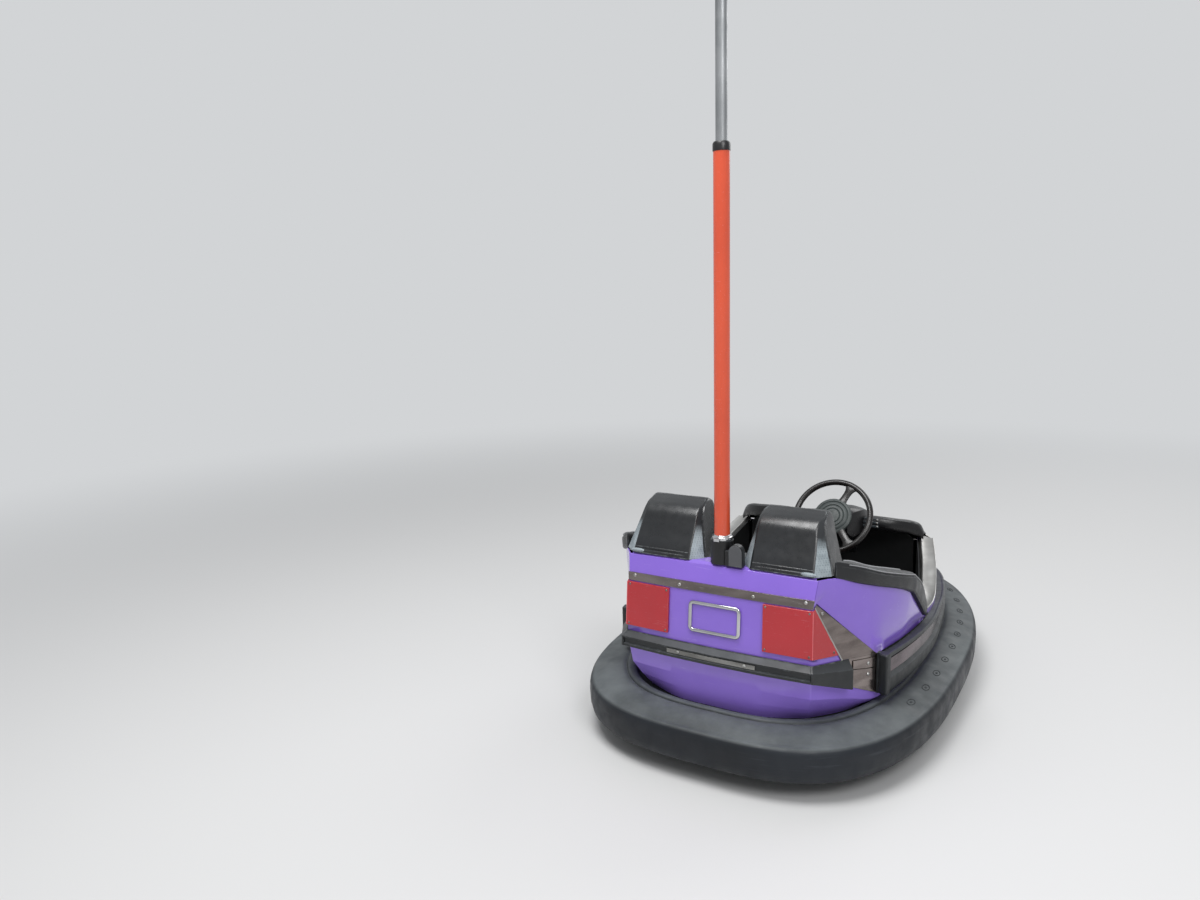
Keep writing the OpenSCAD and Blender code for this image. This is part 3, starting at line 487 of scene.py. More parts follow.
def sheet(outer, inner):
    """A closed sheet between an outer and an inner grid of points."""
    rows, cols = len(outer), len(outer[0])
    n = rows * cols
    points = [p for r in outer for p in r] + [p for r in inner for p in r]
    faces = []
    for r in range(rows - 1):
        for c in range(cols - 1):
            a = r * cols + c
            faces.append((a, a + 1, a + cols + 1, a + cols))
            faces.append(Inner((n + a + cols, n + a + cols + 1, n + a + 1, n + a)))
    rim = list(range(cols)) + [r * cols + cols - 1 for r in range(1, rows)]
    rim += [(rows - 1) * cols + c for c in range(cols - 2, -1, -1)] + [r * cols for r in range(rows - 2, 0, -1)]
    for i, a in enumerate(rim):
        b = rim[(i + 1) % len(rim)]
        faces.append((b, a, n + a, n + b))
    return points, faces


def bar(sections, loop=False):
    """A bar through a list of closed sections, closed on itself or capped."""
    m = len(sections[0])
    points = [p for s in sections for p in s]
    faces = []
    for i in range(len(sections) if loop else len(sections) - 1):
        a, b = i * m, (i + 1) % len(sections) * m
        faces += [(a + j, a + (j + 1) % m, b + (j + 1) % m, b + j) for j in range(m)]
    if not loop:
        last = (len(sections) - 1) * m
        faces += [tuple(range(m - 1, -1, -1)), tuple(range(last, last + m))]
    return points, faces


def turned(profile, steps=48, closed=False):
    """A shape turned about Z from (radius, height) pairs."""
    sections = []
    for a in turns(steps):
        sections.append([at(r * math.cos(a), r * math.sin(a), z) for r, z in profile])
    m = len(profile)
    points = [p for s in sections for p in s]
    faces = []
    for i in range(steps):
        a, b = i * m, (i + 1) % steps * m
        for j in range(m if closed else m - 1):
            k = (j + 1) % m
            faces.append((a + j, b + j, b + k, a + k))
    if not closed:
        if profile[0][0] > 0:
            faces.append(tuple(i * m for i in range(steps - 1, -1, -1)))
        if profile[-1][0] > 0:
            faces.append(tuple(i * m + m - 1 for i in range(steps)))
    return points, faces


def moved(shape, matrix):
    return [matrix @ p for p in shape[0]], shape[1]


def facing(point, normal):
    """A place whose Z axis is the given direction."""
    return Matrix.Translation(point) @ normal.normalized().to_track_quat("Z", "Y").to_matrix().to_4x4()


def rounded(corners, radii, n=3):
    """A closed outline with its corners rounded."""
    points = []
    for i, p in enumerate(corners):
        a, c = corners[i - 1], corners[(i + 1) % len(corners)]
        r = radii[i] if isinstance(radii, (list, tuple)) else radii
        ra, rc = min(r, (a - p).length * 0.45), min(r, (c - p).length * 0.45)
        start, end = p + (a - p).normalized() * ra, p + (c - p).normalized() * rc
        for k in range(n + 1):
            t = k / n
            points.append(lerp(lerp(start, p, t), lerp(p, end, t), t))
    return points


def piece(name, shape, slot, body="car", stands_for=None, bevel=0.0, crease=30, steps=2, lining=None,
          finish=None):
    """A new piece of the car, riding on a body, with soft edges where its faces meet at more than crease degrees."""
    points, faces = shape
    mesh = bpy.data.meshes.new(name)
    mesh.from_pydata([p * MM for p in points], [], faces)
    mesh.materials.append(finishes[finish or slot])
    if lining:
        mesh.materials.append(finishes[lining])
        for polygon, face in zip(mesh.polygons, faces):
            polygon.material_index = int(isinstance(face, Inner))
    work = bmesh.new()
    work.from_mesh(mesh)
    bmesh.ops.remove_doubles(work, verts=work.verts, dist=WELD)
    bmesh.ops.recalc_face_normals(work, faces=work.faces)
    work.to_mesh(mesh)
    work.free()
    mesh.shade_smooth()
    obj = bpy.data.objects.new(name, mesh)
    scene.collection.objects.link(obj)
    soften(obj, bevel, crease, steps)
    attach(obj, body)
    if stands_for:
        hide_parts(stands_for)
    return obj


def soften(obj, bevel, crease, steps=2):
    """Bevelled edges, or sharp ones without a bevel, where faces meet at more than crease degrees."""
    if bevel:
        edge = obj.modifiers.new("soft edges", "BEVEL")
        edge.width = bevel * MM
        edge.segments = steps
        edge.limit_method = "ANGLE"
        edge.angle_limit = math.radians(crease)
        edge.harden_normals = True
        edge.use_clamp_overlap = True
    else:
        obj.data.set_sharp_from_angle(angle=math.radians(crease))


def keep_node(name, slot, bevel=0.0, crease=30):
    """A frame node whose shape is right keeps it and gets its finish and soft edges."""
    obj = nodes[name]
    if obj.data.has_custom_normals:
        obj.data.attributes.remove(obj.data.attributes["custom_normal"])
    obj.data.shade_smooth()
    obj.data.materials.clear()
    obj.data.materials.append(finishes[slot])
    merge = obj.modifiers.new("one skin", "WELD")
    merge.merge_threshold = WELD
    if bevel:
        soften(obj, bevel, crease)
    else:
        smooth = obj.modifiers.new("flat faces", "EDGE_SPLIT")
        smooth.split_angle = math.radians(crease)


# Outline stations round half the body, from the rear middle to the front middle:
# side x, side y, strip bottom z, strip top z, foot x, foot y
EDGE = [
    (0, 830, 330, 381, 0, 802),
    (155, 827, 330, 381, 150, 793),
    (305, 822, 332, 381, 262, 742),
    (371, 691, 278, 368, 345, 640),
    (425, 583, 227, 356, 385, 560),
    (458, 400, 230, 350, 412, 400),
    (474, 166, 235, 340, 424, 166),
    (458, -31, 238, 328, 416, -31),
    (440, -180, 240, 318, 396, -180),
    (415, -312, 241, 308, 372, -312),
    (370, -480, 242, 295, 330, -475),
    (328, -585, 243, 285, 286, -574),
    (303, -645, 176, 280, 262, -630),
    (93, -750, 180, 237, 93, -716),
    (0, -762, 180, 237, 0, -726),
]
# stations at the rear corner, the corner plate's front edge, the side strip's front end and the front corner
REAR_CORNER, PLATE_FRONT, STRIP_FRONT, FRONT_CORNER = 2, 4, 11, 12
PAN_TOP = 172
# clearance between pieces, and thickness of the panels and of the steel trim
GAP = 0.3
WALL = 5
TRIM = 3
# half width of the body, and how far it reaches to the rear and to the front
BODY_HALF, BODY_REAR, BODY_FRONT = 480, 830, 765


def side_at(j, z):
    return at(EDGE[j][0], EDGE[j][1], z)


def low(j):
    return side_at(j, EDGE[j][2])


def high(j):
    return side_at(j, EDGE[j][3])


def mid(j):
    return side_at(j, EDGE[j][2] + 20)


def foot(j):
    return at(EDGE[j][4], EDGE[j][5], PAN_TOP + GAP)


def out_dir(p):
    """The level direction out of the body at a point."""
    reach = BODY_REAR if p.y > 0 else BODY_FRONT
    return at((p.x / BODY_HALF) ** 3 / BODY_HALF, (p.y / reach) ** 3 / reach, 0).normalized()


def out(p, d):
    return p + out_dir(p) * d


def outs(grid, d):
    return [[out(p, d) for p in r] for r in grid]


def ups(grid, d):
    return [[p + at(0, 0, d) for p in r] for r in grid]


def quad(c, u, v):
    """A point between four corners: low near, low far, high near, high far."""
    return lerp(lerp(c[0], c[1], u), lerp(c[2], c[3], u), v)


def patch(c, us, vs):
    return [[quad(c, u, v) for u in us] for v in vs]


# Rubber ring


# half width, half length, and how far to the rear of the middle it is widest
RING_HALF, RING_REACH, RING_WIDEST = 600, 981, 70
# how square its rear and its front are
SQUARE_REAR, SQUARE_FRONT = 3.0, 2.25


def ring_point(turn, inset):
    """A point of the ring's outline; the ring is squarer at the rear."""
    c, s = math.cos(turn), math.sin(turn)
    power = 2 / (SQUARE_REAR if s > 0 else SQUARE_FRONT)
    half = RING_REACH + (-RING_WIDEST if s > 0 else RING_WIDEST)
    x = (RING_HALF - inset) * math.copysign(abs(c) ** power, c)
    y = RING_WIDEST + (half - inset) * math.copysign(abs(s) ** power, s)
    return at(x, y, 0)


RING_STEPS = 168
RING_BOTTOM = 60
# section of the ring: inset from its outline, height over its bottom
RING_SECTION = [(150, 22), (142, 6), (120, 0), (75, 0), (30, 0), (14, 3), (6, 12), (1, 34), (0, 56), (0, 78)]
RING_SECTION += [(1.5, 92), (4.5, 101), (9.5, 107.5), (14, 110.2), (18, 111), (22, 111.4), (30, 115), (44, 120.5)]
RING_SECTION += [(62, 126), (82, 129.6), (100, 131), (110, 130), (114.5, 127), (117, 126.5), (119, 129)]
RING_SECTION += [(121.5, 132.6), (126, 133.6), (138, 133), (145, 130), (149, 126), (150, 120)]


def even_turns(n):
    """Angles at which the ring's outline has points at even distances."""
    fine_turns = turns(1440) + [2 * math.pi]
    path = [ring_point(a, 75) for a in fine_turns]
    run = [0.0]
    for a, b in zip(path, path[1:]):
        run.append(run[-1] + (b - a).length)
    found, k = [], 0
    for i in range(n):
        want = run[-1] * i / n
        while run[k + 1] < want:
            k += 1
        share = (want - run[k]) / (run[k + 1] - run[k])
        found.append(lerp(fine_turns[k], fine_turns[k + 1], share))
    return found


# profiles of the oval marks moulded along the ring's top: an outline and a small middle
MARK_LINE = [(7.4, -1.5), (7.2, 0.7), (6.6, 1.1), (6.0, 0.7), (5.7, -1.5)]
MARK_MIDDLE = [(2.6, -1.5), (2.3, 0.7), (1.5, 1.1), (0, 1.2)]
# size of a mark along and across the ring, in shares of its profile
MARK_SIZE = (2.9, 1.6, 1.0, 1.0)
# how far towards the rear the marks still show
MARK_REAR = 560
MARK_COUNT = 38
MARK_INSET = 58
MARK_HEIGHT = 125.2
MARK_TILT = 0.27


def ring():
    sections = []
    for turn in even_turns(RING_STEPS):
        sections.append([ring_point(turn, inset) + at(0, 0, RING_BOTTOM + z) for inset, z in RING_SECTION])
    piece("ring_rubber", bar(sections, True), "tyre_rubber", stands_for="bumper_tyre", crease=50)
    marks = []
    for turn in even_turns(MARK_COUNT):
        p = ring_point(turn, MARK_INSET) + at(0, 0, RING_BOTTOM + MARK_HEIGHT)
        if p.y > MARK_REAR:
            continue
        ahead = ring_point(turn + 0.01, MARK_INSET) - ring_point(turn - 0.01, MARK_INSET)
        place = Matrix.Translation(p) @ Matrix.Rotation(math.atan2(ahead.y, ahead.x), 4, "Z")
        place = place @ Matrix.Rotation(MARK_TILT, 4, "X") @ Matrix.Diagonal(MARK_SIZE)
        marks += [moved(turned(MARK_LINE, 20, True), place), moved(turned(MARK_MIDDLE, 14), place)]
    piece("ring_marks", joined(*marks), "tyre_rubber", crease=60, finish="mark_rubber")


ring()

# Body panels
SIDE_SHARP = (REAR_CORNER, FRONT_CORNER)


def panel(name, shape, node, bevel, crease, slot="body_purple"):
    """A painted panel of the body, black on its inside."""
    piece(name, shape, slot, stands_for=node, bevel=bevel, crease=crease, lining="cockpit_black")


def knee(j):
    """The bend of the lower body between its foot and the strip."""
    s, f = low(j), foot(j)
    return at(lerp(f.x, s.x, 0.82), lerp(f.y, s.y, 0.82), lerp(f.z, s.z, 0.6))


def bowl():
    js = range(len(EDGE))
    rows = [[foot(j) for j in js], [knee(j) for j in js], [mid(j) - at(0, 0, GAP) for j in js]]
    rows = [both(fine(r, 6, SIDE_SHARP)) for r in rows]
    rows.insert(1, [lerp(a, b, 0.5) + out_dir(b) * 3 for a, b in zip(rows[0], rows[1])])
    # the bowl takes tub_purple, brightened as painted light against its shade
    panel("lower_bowl", sheet(outs(rows, 0), outs(rows, -WALL)), "lower_body", 5, 9, "tub_purple")


FACE_TOP = [at(0, 818, 547), at(153, 816.5, 547), at(302, 812, 547)]
FACET_TOP = at(305, 790, 556)
DECK_EDGE = [at(0, 795, 628), at(155, 795, 628), at(311, 795, 628)]
FACE_OUT = [high(1), high(2), FACE_TOP[1], FACE_TOP[2]]
FACET_MID = lerp(FACE_TOP[2], FACET_TOP, 0.5)
FACET_A = [high(2), high(3), FACE_TOP[2], FACET_MID]
FACET_B = [high(3), lerp(high(4), high(3), 0.012), FACET_MID, lerp(FACET_TOP, FACET_MID, 0.1)]
FACE_ROWS = [0, 0.11, 0.25, 0.5, 0.77, 0.975, 1]
STRIP_SHARE = 0.31
DECK_Z = 634


def face_row(p):
    """Three points across the face, with one more in each gap."""
    return [p[0], lerp(p[0], p[1], 0.5), p[1], lerp(p[1], p[2], 0.5), p[2]]


def mix_rows(p, q, t):
    return [lerp(a, b, t) for a, b in zip(p, q)]


FACE_BASE = [high(0), high(1), high(2)]


def rear_face():
    rows = [face_row([mid(0), mid(1), mid(2)])]
    rows += [face_row(mix_rows(FACE_BASE, FACE_TOP, v)) for v in FACE_ROWS]
    rows += [face_row(mix_rows(FACE_TOP, DECK_EDGE, t)) for t in (STRIP_SHARE, 1)]
    full = [both(r) for r in rows]
    cols = [0, 0.25, 0.5, 0.8, 1]
    facet = [[lerp(mid(2), mid(3), u) for u in cols] + [lerp(mid(4), mid(3), 0.012)]]
    facet += [patch(FACET_A, cols, [v])[0] + [quad(FACET_B, 1, v)] for v in FACE_ROWS]
    deck = [
        both([DECK_EDGE[0] - at(0, 1, 0), DECK_EDGE[1] - at(0, 1, 0), at(303, 788, 628)]),
        both([at(0, 784, DECK_Z), at(155, 784, DECK_Z), at(301, 780, DECK_Z)]),
        both([at(0, 740, DECK_Z), at(155, 740, DECK_Z), at(326, 740, DECK_Z)]),
    ]
    shape = joined(
        sheet(full, outs(full, -WALL)), pair(sheet(facet, outs(facet, -WALL))), sheet(deck, ups(deck, -WALL))
    )
    panel("rear_face", shape, "rear_panel", 2.5, 14)


QUARTER_LOW = [FACE_TOP[2] + at(0, -1.5, 2), FACET_TOP + at(0, 0, 2), lerp(FACET_TOP, high(4), 0.5), high(4)]
QUARTER_LOW += [lerp(high(4), high(5), 0.66), high(5), lerp(high(5), high(6), 0.46), high(6)]
QUARTER_TOP = [DECK_EDGE[2] - at(0, 1.5, 0), at(348, 741, 626), at(385, 686, 603), at(426, 595, 571)]
QUARTER_TOP += [at(469, 464, 528), at(480, 402, 501), at(480, 297, 425), at(475, 186, 352)]


def quarters():
    low_rows = [[mid(4), lerp(mid(4), mid(5), 0.66), mid(5), lerp(mid(5), mid(6), 0.46), mid(6)], QUARTER_LOW[3:8]]
    low_rows = [fine(r, 4) for r in low_rows]
    upper = [fine(QUARTER_LOW, 4, (1, 3)), fine(QUARTER_TOP, 4, (5,))]
    mids = []
    for share, swell in ((0.25, 3), (0.5, 4), (0.75, 3)):
        row = []
        for k, (a, c) in enumerate(zip(*upper)):
            fade = min(1, k / 10)
            row.append(lerp(a, c, share) + out_dir(c) * swell * fade)
        mids.append(row)
    upper = [upper[0]] + mids + [upper[1]]
    shape = joined(*[sheet(grid, outs(grid, -WALL)) for grid in (low_rows, upper)])
    panel("quarter_skins", pair(shape), "quarter_panels", 2, 24)


FENDER_TOP = [at(474, 165.6, 352), at(471, -31, 346), at(442, -180, 418), at(402, -312, 481), at(350, -480, 431)]
FENDER_TOP += [at(314, -585, 400), at(296, -657, 378)]


def fender_skins():
    lower = [mid(6) - at(0, 0.4, 0)] + [mid(j) for j in range(7, 13)]
    rows = [fine(lower, 5), fine(FENDER_TOP, 5, (3,))]
    rows.insert(1, [lerp(a, c, 0.5) + out_dir(c) * 3 for a, c in zip(*rows)])
    panel("fender_skins", pair(sheet(rows, outs(rows, -WALL))), "fenders", 2, 24)


COWL_Y = -330
HOOD_REAR = [at(x, COWL_Y - GAP, z) for x, z in ((0, 528), (60, 527), (105, 526), (150, 523), (318, 510))]
HOOD_FRONT = [at(0, -760, 304), at(65, -756, 308), at(80, -749, 345), at(116, -735, 364), at(291, -659, 379)]
SCOOP = [
    [at(0, -340, 542), at(112, -340, 540), at(128, -340, 532)],
    [at(0, -470, 515), at(112, -470, 513), at(132, -475, 488)],
    [at(0, -506, 480), at(120, -506, 478), at(140, -506, 474)],
]
SCOOP_DEPTH = 22
# how far the hood bulges up between its rear and its front edge
HOOD_SWELL = 22


def hood_row(t):
    return [lerp(a, c, t) + at(0, 0, HOOD_SWELL * math.sin(math.pi * t)) for a, c in zip(HOOD_REAR, HOOD_FRONT)]


def hood_skin():
    rows = [both(hood_row(t / 12)) for t in range(13)]
    scoop = [both(fine(r, 3, (1,))) for r in SCOOP]
    shape = joined(sheet(rows, ups(rows, -WALL)), sheet(scoop, ups(scoop, -SCOOP_DEPTH)))
    panel("hood_skin", shape, "hood", 3, 18)


bowl()
rear_face()
quarters()
fender_skins()
hood_skin()

# Rubber strips
# section of the channelled rear strip: share of its height, reach; and of its plain corner blocks
CHANNEL = [(0, 22), (0.04, 26), (0.2, 26), (0.24, 20), (0.58, 20), (0.62, 26), (0.7, 26), (0.94, 6), (1, 4)]
BLOCK = [(0, 22), (0.04, 26), (0.2, 26), (0.24, 26), (0.58, 26), (0.62, 26), (0.7, 26), (0.94, 6), (1, 4)]


def strip_section(lo, hi, section, inner):
    """Outer and inner grids of a strip between a lower and an upper line, by (share of height, reach)."""
    face = [[out(lerp(a, c, t), d) for a, c in zip(lo, hi)] for t, d in section]
    back = [[out(lerp(a, c, t), inner) for a, c in zip(lo, hi)] for t, d in section]
    return sheet(face, back)


def rear_y(x):
    """The body's rear line at a distance across."""
    return 830 - 3 * abs(x) / 155


def rear_rubber():
    seat = TRIM + 2 * GAP
    middle = [both([line(0), line(1), lerp(line(2), line(1), 0.04)]) for line in (low, high)]
    corner = [[lerp(line(2), line(1), 0.034), line(2), line(3)] for line in (low, high)]
    shape = joined(strip_section(*middle, CHANNEL, seat), pair(strip_section(*corner, BLOCK, seat)))
    piece("rear_rubber", shape, "strip_black", stands_for="rear_strip", bevel=1.6, crease=24)
    grid = [[at(x, rear_y(x) + 23.5, z) for x in (-141, 5, 151)] for z in (343.5, 358)]
    back = [[p - at(0, 4, 0) for p in r] for r in grid]
    piece("rear_rubber_plate", sheet(grid, back), "trim_steel", bevel=0.6, crease=40, finish="strip_steel")


# section of the side strip: share of its height, reach at its plain ends, reach along its groove
SIDE_CUT = [(0, 31, 31), (0.05, 36, 36), (0.14, 38, 38), (0.4, 38.5, 38.5), (0.47, 37, 29), (0.87, 36, 28)]
SIDE_CUT += [(0.92, 36.5, 36.5), (0.97, 35.5, 35.5), (1.0, 32, 32), (0.995, 28, 28), (0.95, 24, 24), (0.94, 6, 6)]
GROOVE_FROM, GROOVE_TO, GROOVE_SLOPE = 0.13, 6.2, 0.02


def along(row, t):
    i = min(int(t), len(row) - 2)
    return lerp(row[i], row[i + 1], t - i)


def side_rubber():
    per_gap = 6
    js = range(PLATE_FRONT, STRIP_FRONT + 1)
    rows = [fine([edge(j) for j in js], per_gap) for edge in (low, high)]
    places = [k / per_gap for k in range(1, 7 * per_gap + 1)]
    places += [0.06, GROOVE_FROM, GROOVE_FROM + GROOVE_SLOPE, GROOVE_TO, GROOVE_TO + GROOVE_SLOPE]
    places.sort()
    lo, hi = [[along(row, t * per_gap) for t in places] for row in rows]
    in_groove = [GROOVE_FROM < t <= GROOVE_TO for t in places]
    face = [
        [out(lerp(a, c, t), deep if inside else plain) for a, c, inside in zip(lo, hi, in_groove)]
        for t, plain, deep in SIDE_CUT
    ]
    back = [[out(lerp(a, c, t), TRIM + 2 * GAP) for a, c in zip(lo, hi)] for t, _, _ in SIDE_CUT]
    shape = pair(joined(sheet(face, back), strip_end()))
    piece("side_rubbers", shape, "strip_black", stands_for="side_strips", bevel=1.2, crease=30)
    inlay = [k for k, t in enumerate(places) if GROOVE_FROM + 0.03 < t < 5.4]
    part = [[lerp(lo[k], hi[k], t) for k in inlay] for t in (0.5, 0.85)]
    piece("side_inlays", pair(sheet(outs(part, 31), outs(part, 27.5))), "trim_steel", bevel=0.6, crease=40,
          finish="recess_steel")


def strip_end():
    """The rounded upright block that ends a side strip at the rear."""
    sections = []
    bottom, top = EDGE[PLATE_FRONT][2:4]
    for z, shrink in ((bottom, 3), (bottom + 4, 0), (top - 4, 0), (top, 3)):
        p = side_at(PLATE_FRONT, z)
        away, ahead = out_dir(p), (side_at(PLATE_FRONT + 1, z) - p).normalized()
        spots = [(8 + shrink, shrink), (38.5 - shrink, shrink), (38.5 - shrink, 26), (8 + shrink, 26)]
        corners = [p + away * u + ahead * v for u, v in spots]
        sections.append(rounded(corners, (6, 7, 2, 2), 4))
    # filler between the block and the corner of the body
    filler = []
    for z in (bottom, top):
        p = side_at(PLATE_FRONT, z)
        away, ahead = out_dir(p), (side_at(PLATE_FRONT + 1, z) - p).normalized()
        filler.append([p + away * u + ahead * v for u, v in ((0.5, 1), (10, 3), (10, 24), (0.5, 24))])
    return joined(bar(sections), bar(filler))


rear_rubber()
side_rubber()

# Sill covers with their edge folded into the cockpit
SILL_OUT = [at(402, -312, 483), at(442, -180, 420), at(471, -31, 349), at(474, 166, 354)]
SILL_IN = [at(352, -312, 489), at(392, -180, 424), at(422, -31, 351), at(424, 166, 356)]
SILL_END = [at(474, 184, 374), at(424, 184, 376)]
# section of a cover: distance in from its outer edge, or out from its inner edge, and height over its seat
SILL_OUTER_LIP = [(0, 0.3), (0, 3.4), (1.6, 4.6), (3.6, 4.2), (5.2, 2.8)]
SILL_INNER_LIP = [(7, 2.8), (4.6, 4.6), (2, 5.6), (0, 4.6), (-1.8, 2)]
SILL_FOLD = at(-9, 0, -15)


def sill_covers():
    outer, inner = [fine(row, 9) + [end] for row, end in zip((SILL_OUT, SILL_IN), SILL_END)]
    face = []
    for lip, row, sign in ((SILL_OUTER_LIP, outer, -1), (SILL_INNER_LIP, inner, 1)):
        face += [[p + at(sign * d, 0, h) for p in row] for d, h in lip]
    face.append([p + SILL_FOLD * (0.2 if p is inner[-1] else 1) for p in inner])
    back = [[p + at(0, 0, 0.2) for p in outer] for _ in SILL_OUTER_LIP]
    back += [[p + at(1, 0, 0.2) for p in inner] for _ in SILL_INNER_LIP]
    back.append([p + at(1.5, 0, 0) for p in face[-1]])
    piece("sill_covers", pair(sheet(face, back)), "trim_steel", stands_for="sill_trims", crease=50,
          finish="bright_steel")


sill_covers()

# Fasteners, all turned from one profile: (radius, height) shares of the head's radius
SCREW = [(0, -0.5), (1.0, -0.5), (1.0, 0.12), (0.86, 0.34), (0.58, 0.48), (0.42, 0.5), (0.36, 0.2), (0, 0.14)]


def screws(name, places, radius, slot="trim_steel", finish=None):
    """Screw heads, each at a point and facing a direction."""
    shape = [moved(turned([(r * radius, h * radius) for r, h in SCREW], 12), facing(p, d)) for p, d in places]
    piece(name, joined(*shape), slot, crease=35, finish=finish)


# Dash moulding behind the hood: x; y and z of its crest; z of its shoulder
DASH = [(0, -172, 578, 552), (110, -174, 579, 549), (200, -184, 577, 545), (275, -208, 569, 537)]
DASH += [(328, -246, 557, 528), (354, -270, 541, 512), (371, -284, 508, 498)]
DASH_WALL = 6
# roll along its rear edge: y and z from the crest at its outside, then at its inside
ROLL = [(-40, -4, -40, -11), (-16, 0, -16, -6), (-4, -4, -8, -9), (3, -14, -3, -17), (5, -25, -1, -26)]
ROLL += [(5, -36, -1, -34), (0, -46, -5, -41), (-12, -50, -12, -44)]
# hump over the column: y, half width, top z, underside z
HUMP = [(-290, 95, 556, 536), (-225, 88, 604, 530), (-160, 80, 617, 518), (-108, 60, 611, 510), (-84, 48, 594, 530)]
HUMP_X = -87
# ribbed plate on the dash beside the wheel: where it starts and ends across;
# each rib's place from the crest, and half height
RIB_FROM, RIB_TO = 150, 226
RIBS = [((-1, -8), 4), ((4.5, -20), 3.5), ((4.5, -34), 4.5)]
RIB_SHAPE = [(-1, -1), (1, -1), (1.2, 0), (1, 1), (-1, 1)]


def crest(x):
    """The y and z of the dash's crest at a distance across."""
    a, c = next((a, c) for a, c in zip(DASH, DASH[1:]) if x <= c[0])
    return [a[k] + (c[k] - a[k]) * (x - a[0]) / (c[0] - a[0]) for k in (1, 2)]


def dash_moulding():
    front = [(0, 529), (110, 527), (200, 521), (275, 515), (318, 511), (340, 503), (356, 496)]
    front = [at(x, COWL_Y, z) for x, z in front]
    shoulder = [at(x, min(-300, y - 45), low_z) for x, y, _, low_z in DASH]
    ridge = [at(x, y, z) for x, y, z, _ in DASH]
    rows = [fine(r, 5) for r in (front, shoulder, ridge)]
    tail = rows[2]
    # the roll gets thinner round its outer end
    share = [1 - 0.5 * max(0, (p.x - 340) / 31) ** 2 for p in tail]
    outside = rows[:2] + [[p + at(0, y * t, z * t) for p, t in zip(tail, share)] for y, z, _, _ in ROLL]
    inside = [[p - at(0, 0, DASH_WALL) for p in r] for r in rows[:2]]
    inside += [[p + at(0, y * t, z * t) for p, t in zip(tail, share)] for _, _, y, z in ROLL]
    outside, inside = [[both(r) for r in grid] for grid in (outside, inside)]
    sections = []
    for y, w, top, under in HUMP:
        across = [(-w, under), (-w, top - 26), (-w * 0.93, top - 13), (-w * 0.75, top - 6), (-w * 0.4, top)]
        across = across + [(-u, z) for u, z in reversed(across)]
        sections.append([at(HUMP_X + u, y, z) for u, z in across])
    sections = fine_down(sections, 6)
    shape = joined(sheet(outside, inside), bar(sections))
    piece("dash_moulding", shape, "moulded_black", stands_for="cowl", bevel=3, steps=3, finish="dash_black")
    ribs = []
    spots = []
    for lift, half in RIBS:
        row = []
        for x in (-RIB_FROM, -0.5 * (RIB_FROM + RIB_TO), -RIB_TO):
            y, z = crest(-x)
            row.append(at(x, y + lift[0], z + lift[1]))
        ribs.append(bar([[p + at(0, half * c - 1, half * w) for c, w in RIB_SHAPE] for p in row]))
        spots.append((row[-1] + at(7, 4.5, 0), at(0, 1, 0.1)))
    piece("dash_ribs", joined(*ribs), "moulded_black", bevel=0.8, crease=40, finish="rib_grey")
    screws("dash_screws", spots, 4.2, "machine_steel", finish="bright_steel")


dash_moulding()

# Tail lamps: one plate folded round each rear corner
LAMP_ROWS = [0.11, 0.25, 0.5, 0.77, 0.975]
LAMP_REACH = 8


def tail_plates():
    faces = patch(FACE_OUT, (0.005, 0.25, 0.5, 0.75, 1), LAMP_ROWS)
    grid = [a + c for a, c in zip(faces, patch(FACET_A, (0.26, 0.52, 0.78), LAMP_ROWS))]
    shape = pair(sheet(outs(grid, LAMP_REACH), outs(grid, GAP)))
    piece("tail_plates", shape, "lamp_red", stands_for="tail_lamps", bevel=1.4, crease=14)
    # a painted highlight: a thin pale red bar along the fold of each plate
    heights = [lerp(LAMP_ROWS[0], LAMP_ROWS[-1], t) for t in (0.01, 0.33, 0.66, 0.99)]
    fold = [out(quad(FACE_OUT, 1, v), LAMP_REACH - 0.5) for v in heights]
    rings = [hoop(p, at(1.3, 0, 0), at(0, 1.3, 0)) for p in fold]
    piece("lamp_fold_highlights", pair(bar(rings)), "lamp_red", crease=60, finish="lamp_fold_highlight")


def trim_bead_highlights():
    """The rolled edge of each corner plate, on the lamp's side; its bright steel, paler than the plate's, is a
    painted highlight.
    """
    path = [out(quad(FACET_A, 0.805, v), TRIM + GAP + 0.4) for v in FACE_ROWS]
    sections = []
    for p, way in zip(path, ways(path)):
        up = out_dir(p)
        sections.append(hoop(p, way.cross(up).normalized() * 2.6, up * 1.8))
    piece("trim_bead_highlights", pair(bar(sections)), "trim_steel", crease=60, finish="bright_steel")


tail_plates()
trim_bead_highlights()

# Number plate frame: a rounded bead about the blank plate
PLATE_CENTRE = at(0, 824, 468.5)
PLATE_LEAN = 4


def plate_bead():
    corners = [at(x, y, 0) for x, y in ((-80, -43.5), (80, -43.5), (80, 43.5), (-80, 43.5))]
    line = rounded(corners, 13, 6)
    sections = []
    for i, p in enumerate(line):
        way = (line[(i + 1) % len(line)] - line[i - 1]).normalized()
        sections.append(hoop(p + at(0, 0, 3.4), way.cross(at(0, 0, 1)) * 6.2, at(0, 0, 4.4), 12))
    turn = Matrix.Rotation(math.radians(PLATE_LEAN - 90), 4, "X")
    piece("plate_bead", moved(bar(sections, True), Matrix.Translation(PLATE_CENTRE) @ turn), "chrome_trim",
          stands_for="plate_frame", crease=60)


plate_bead()

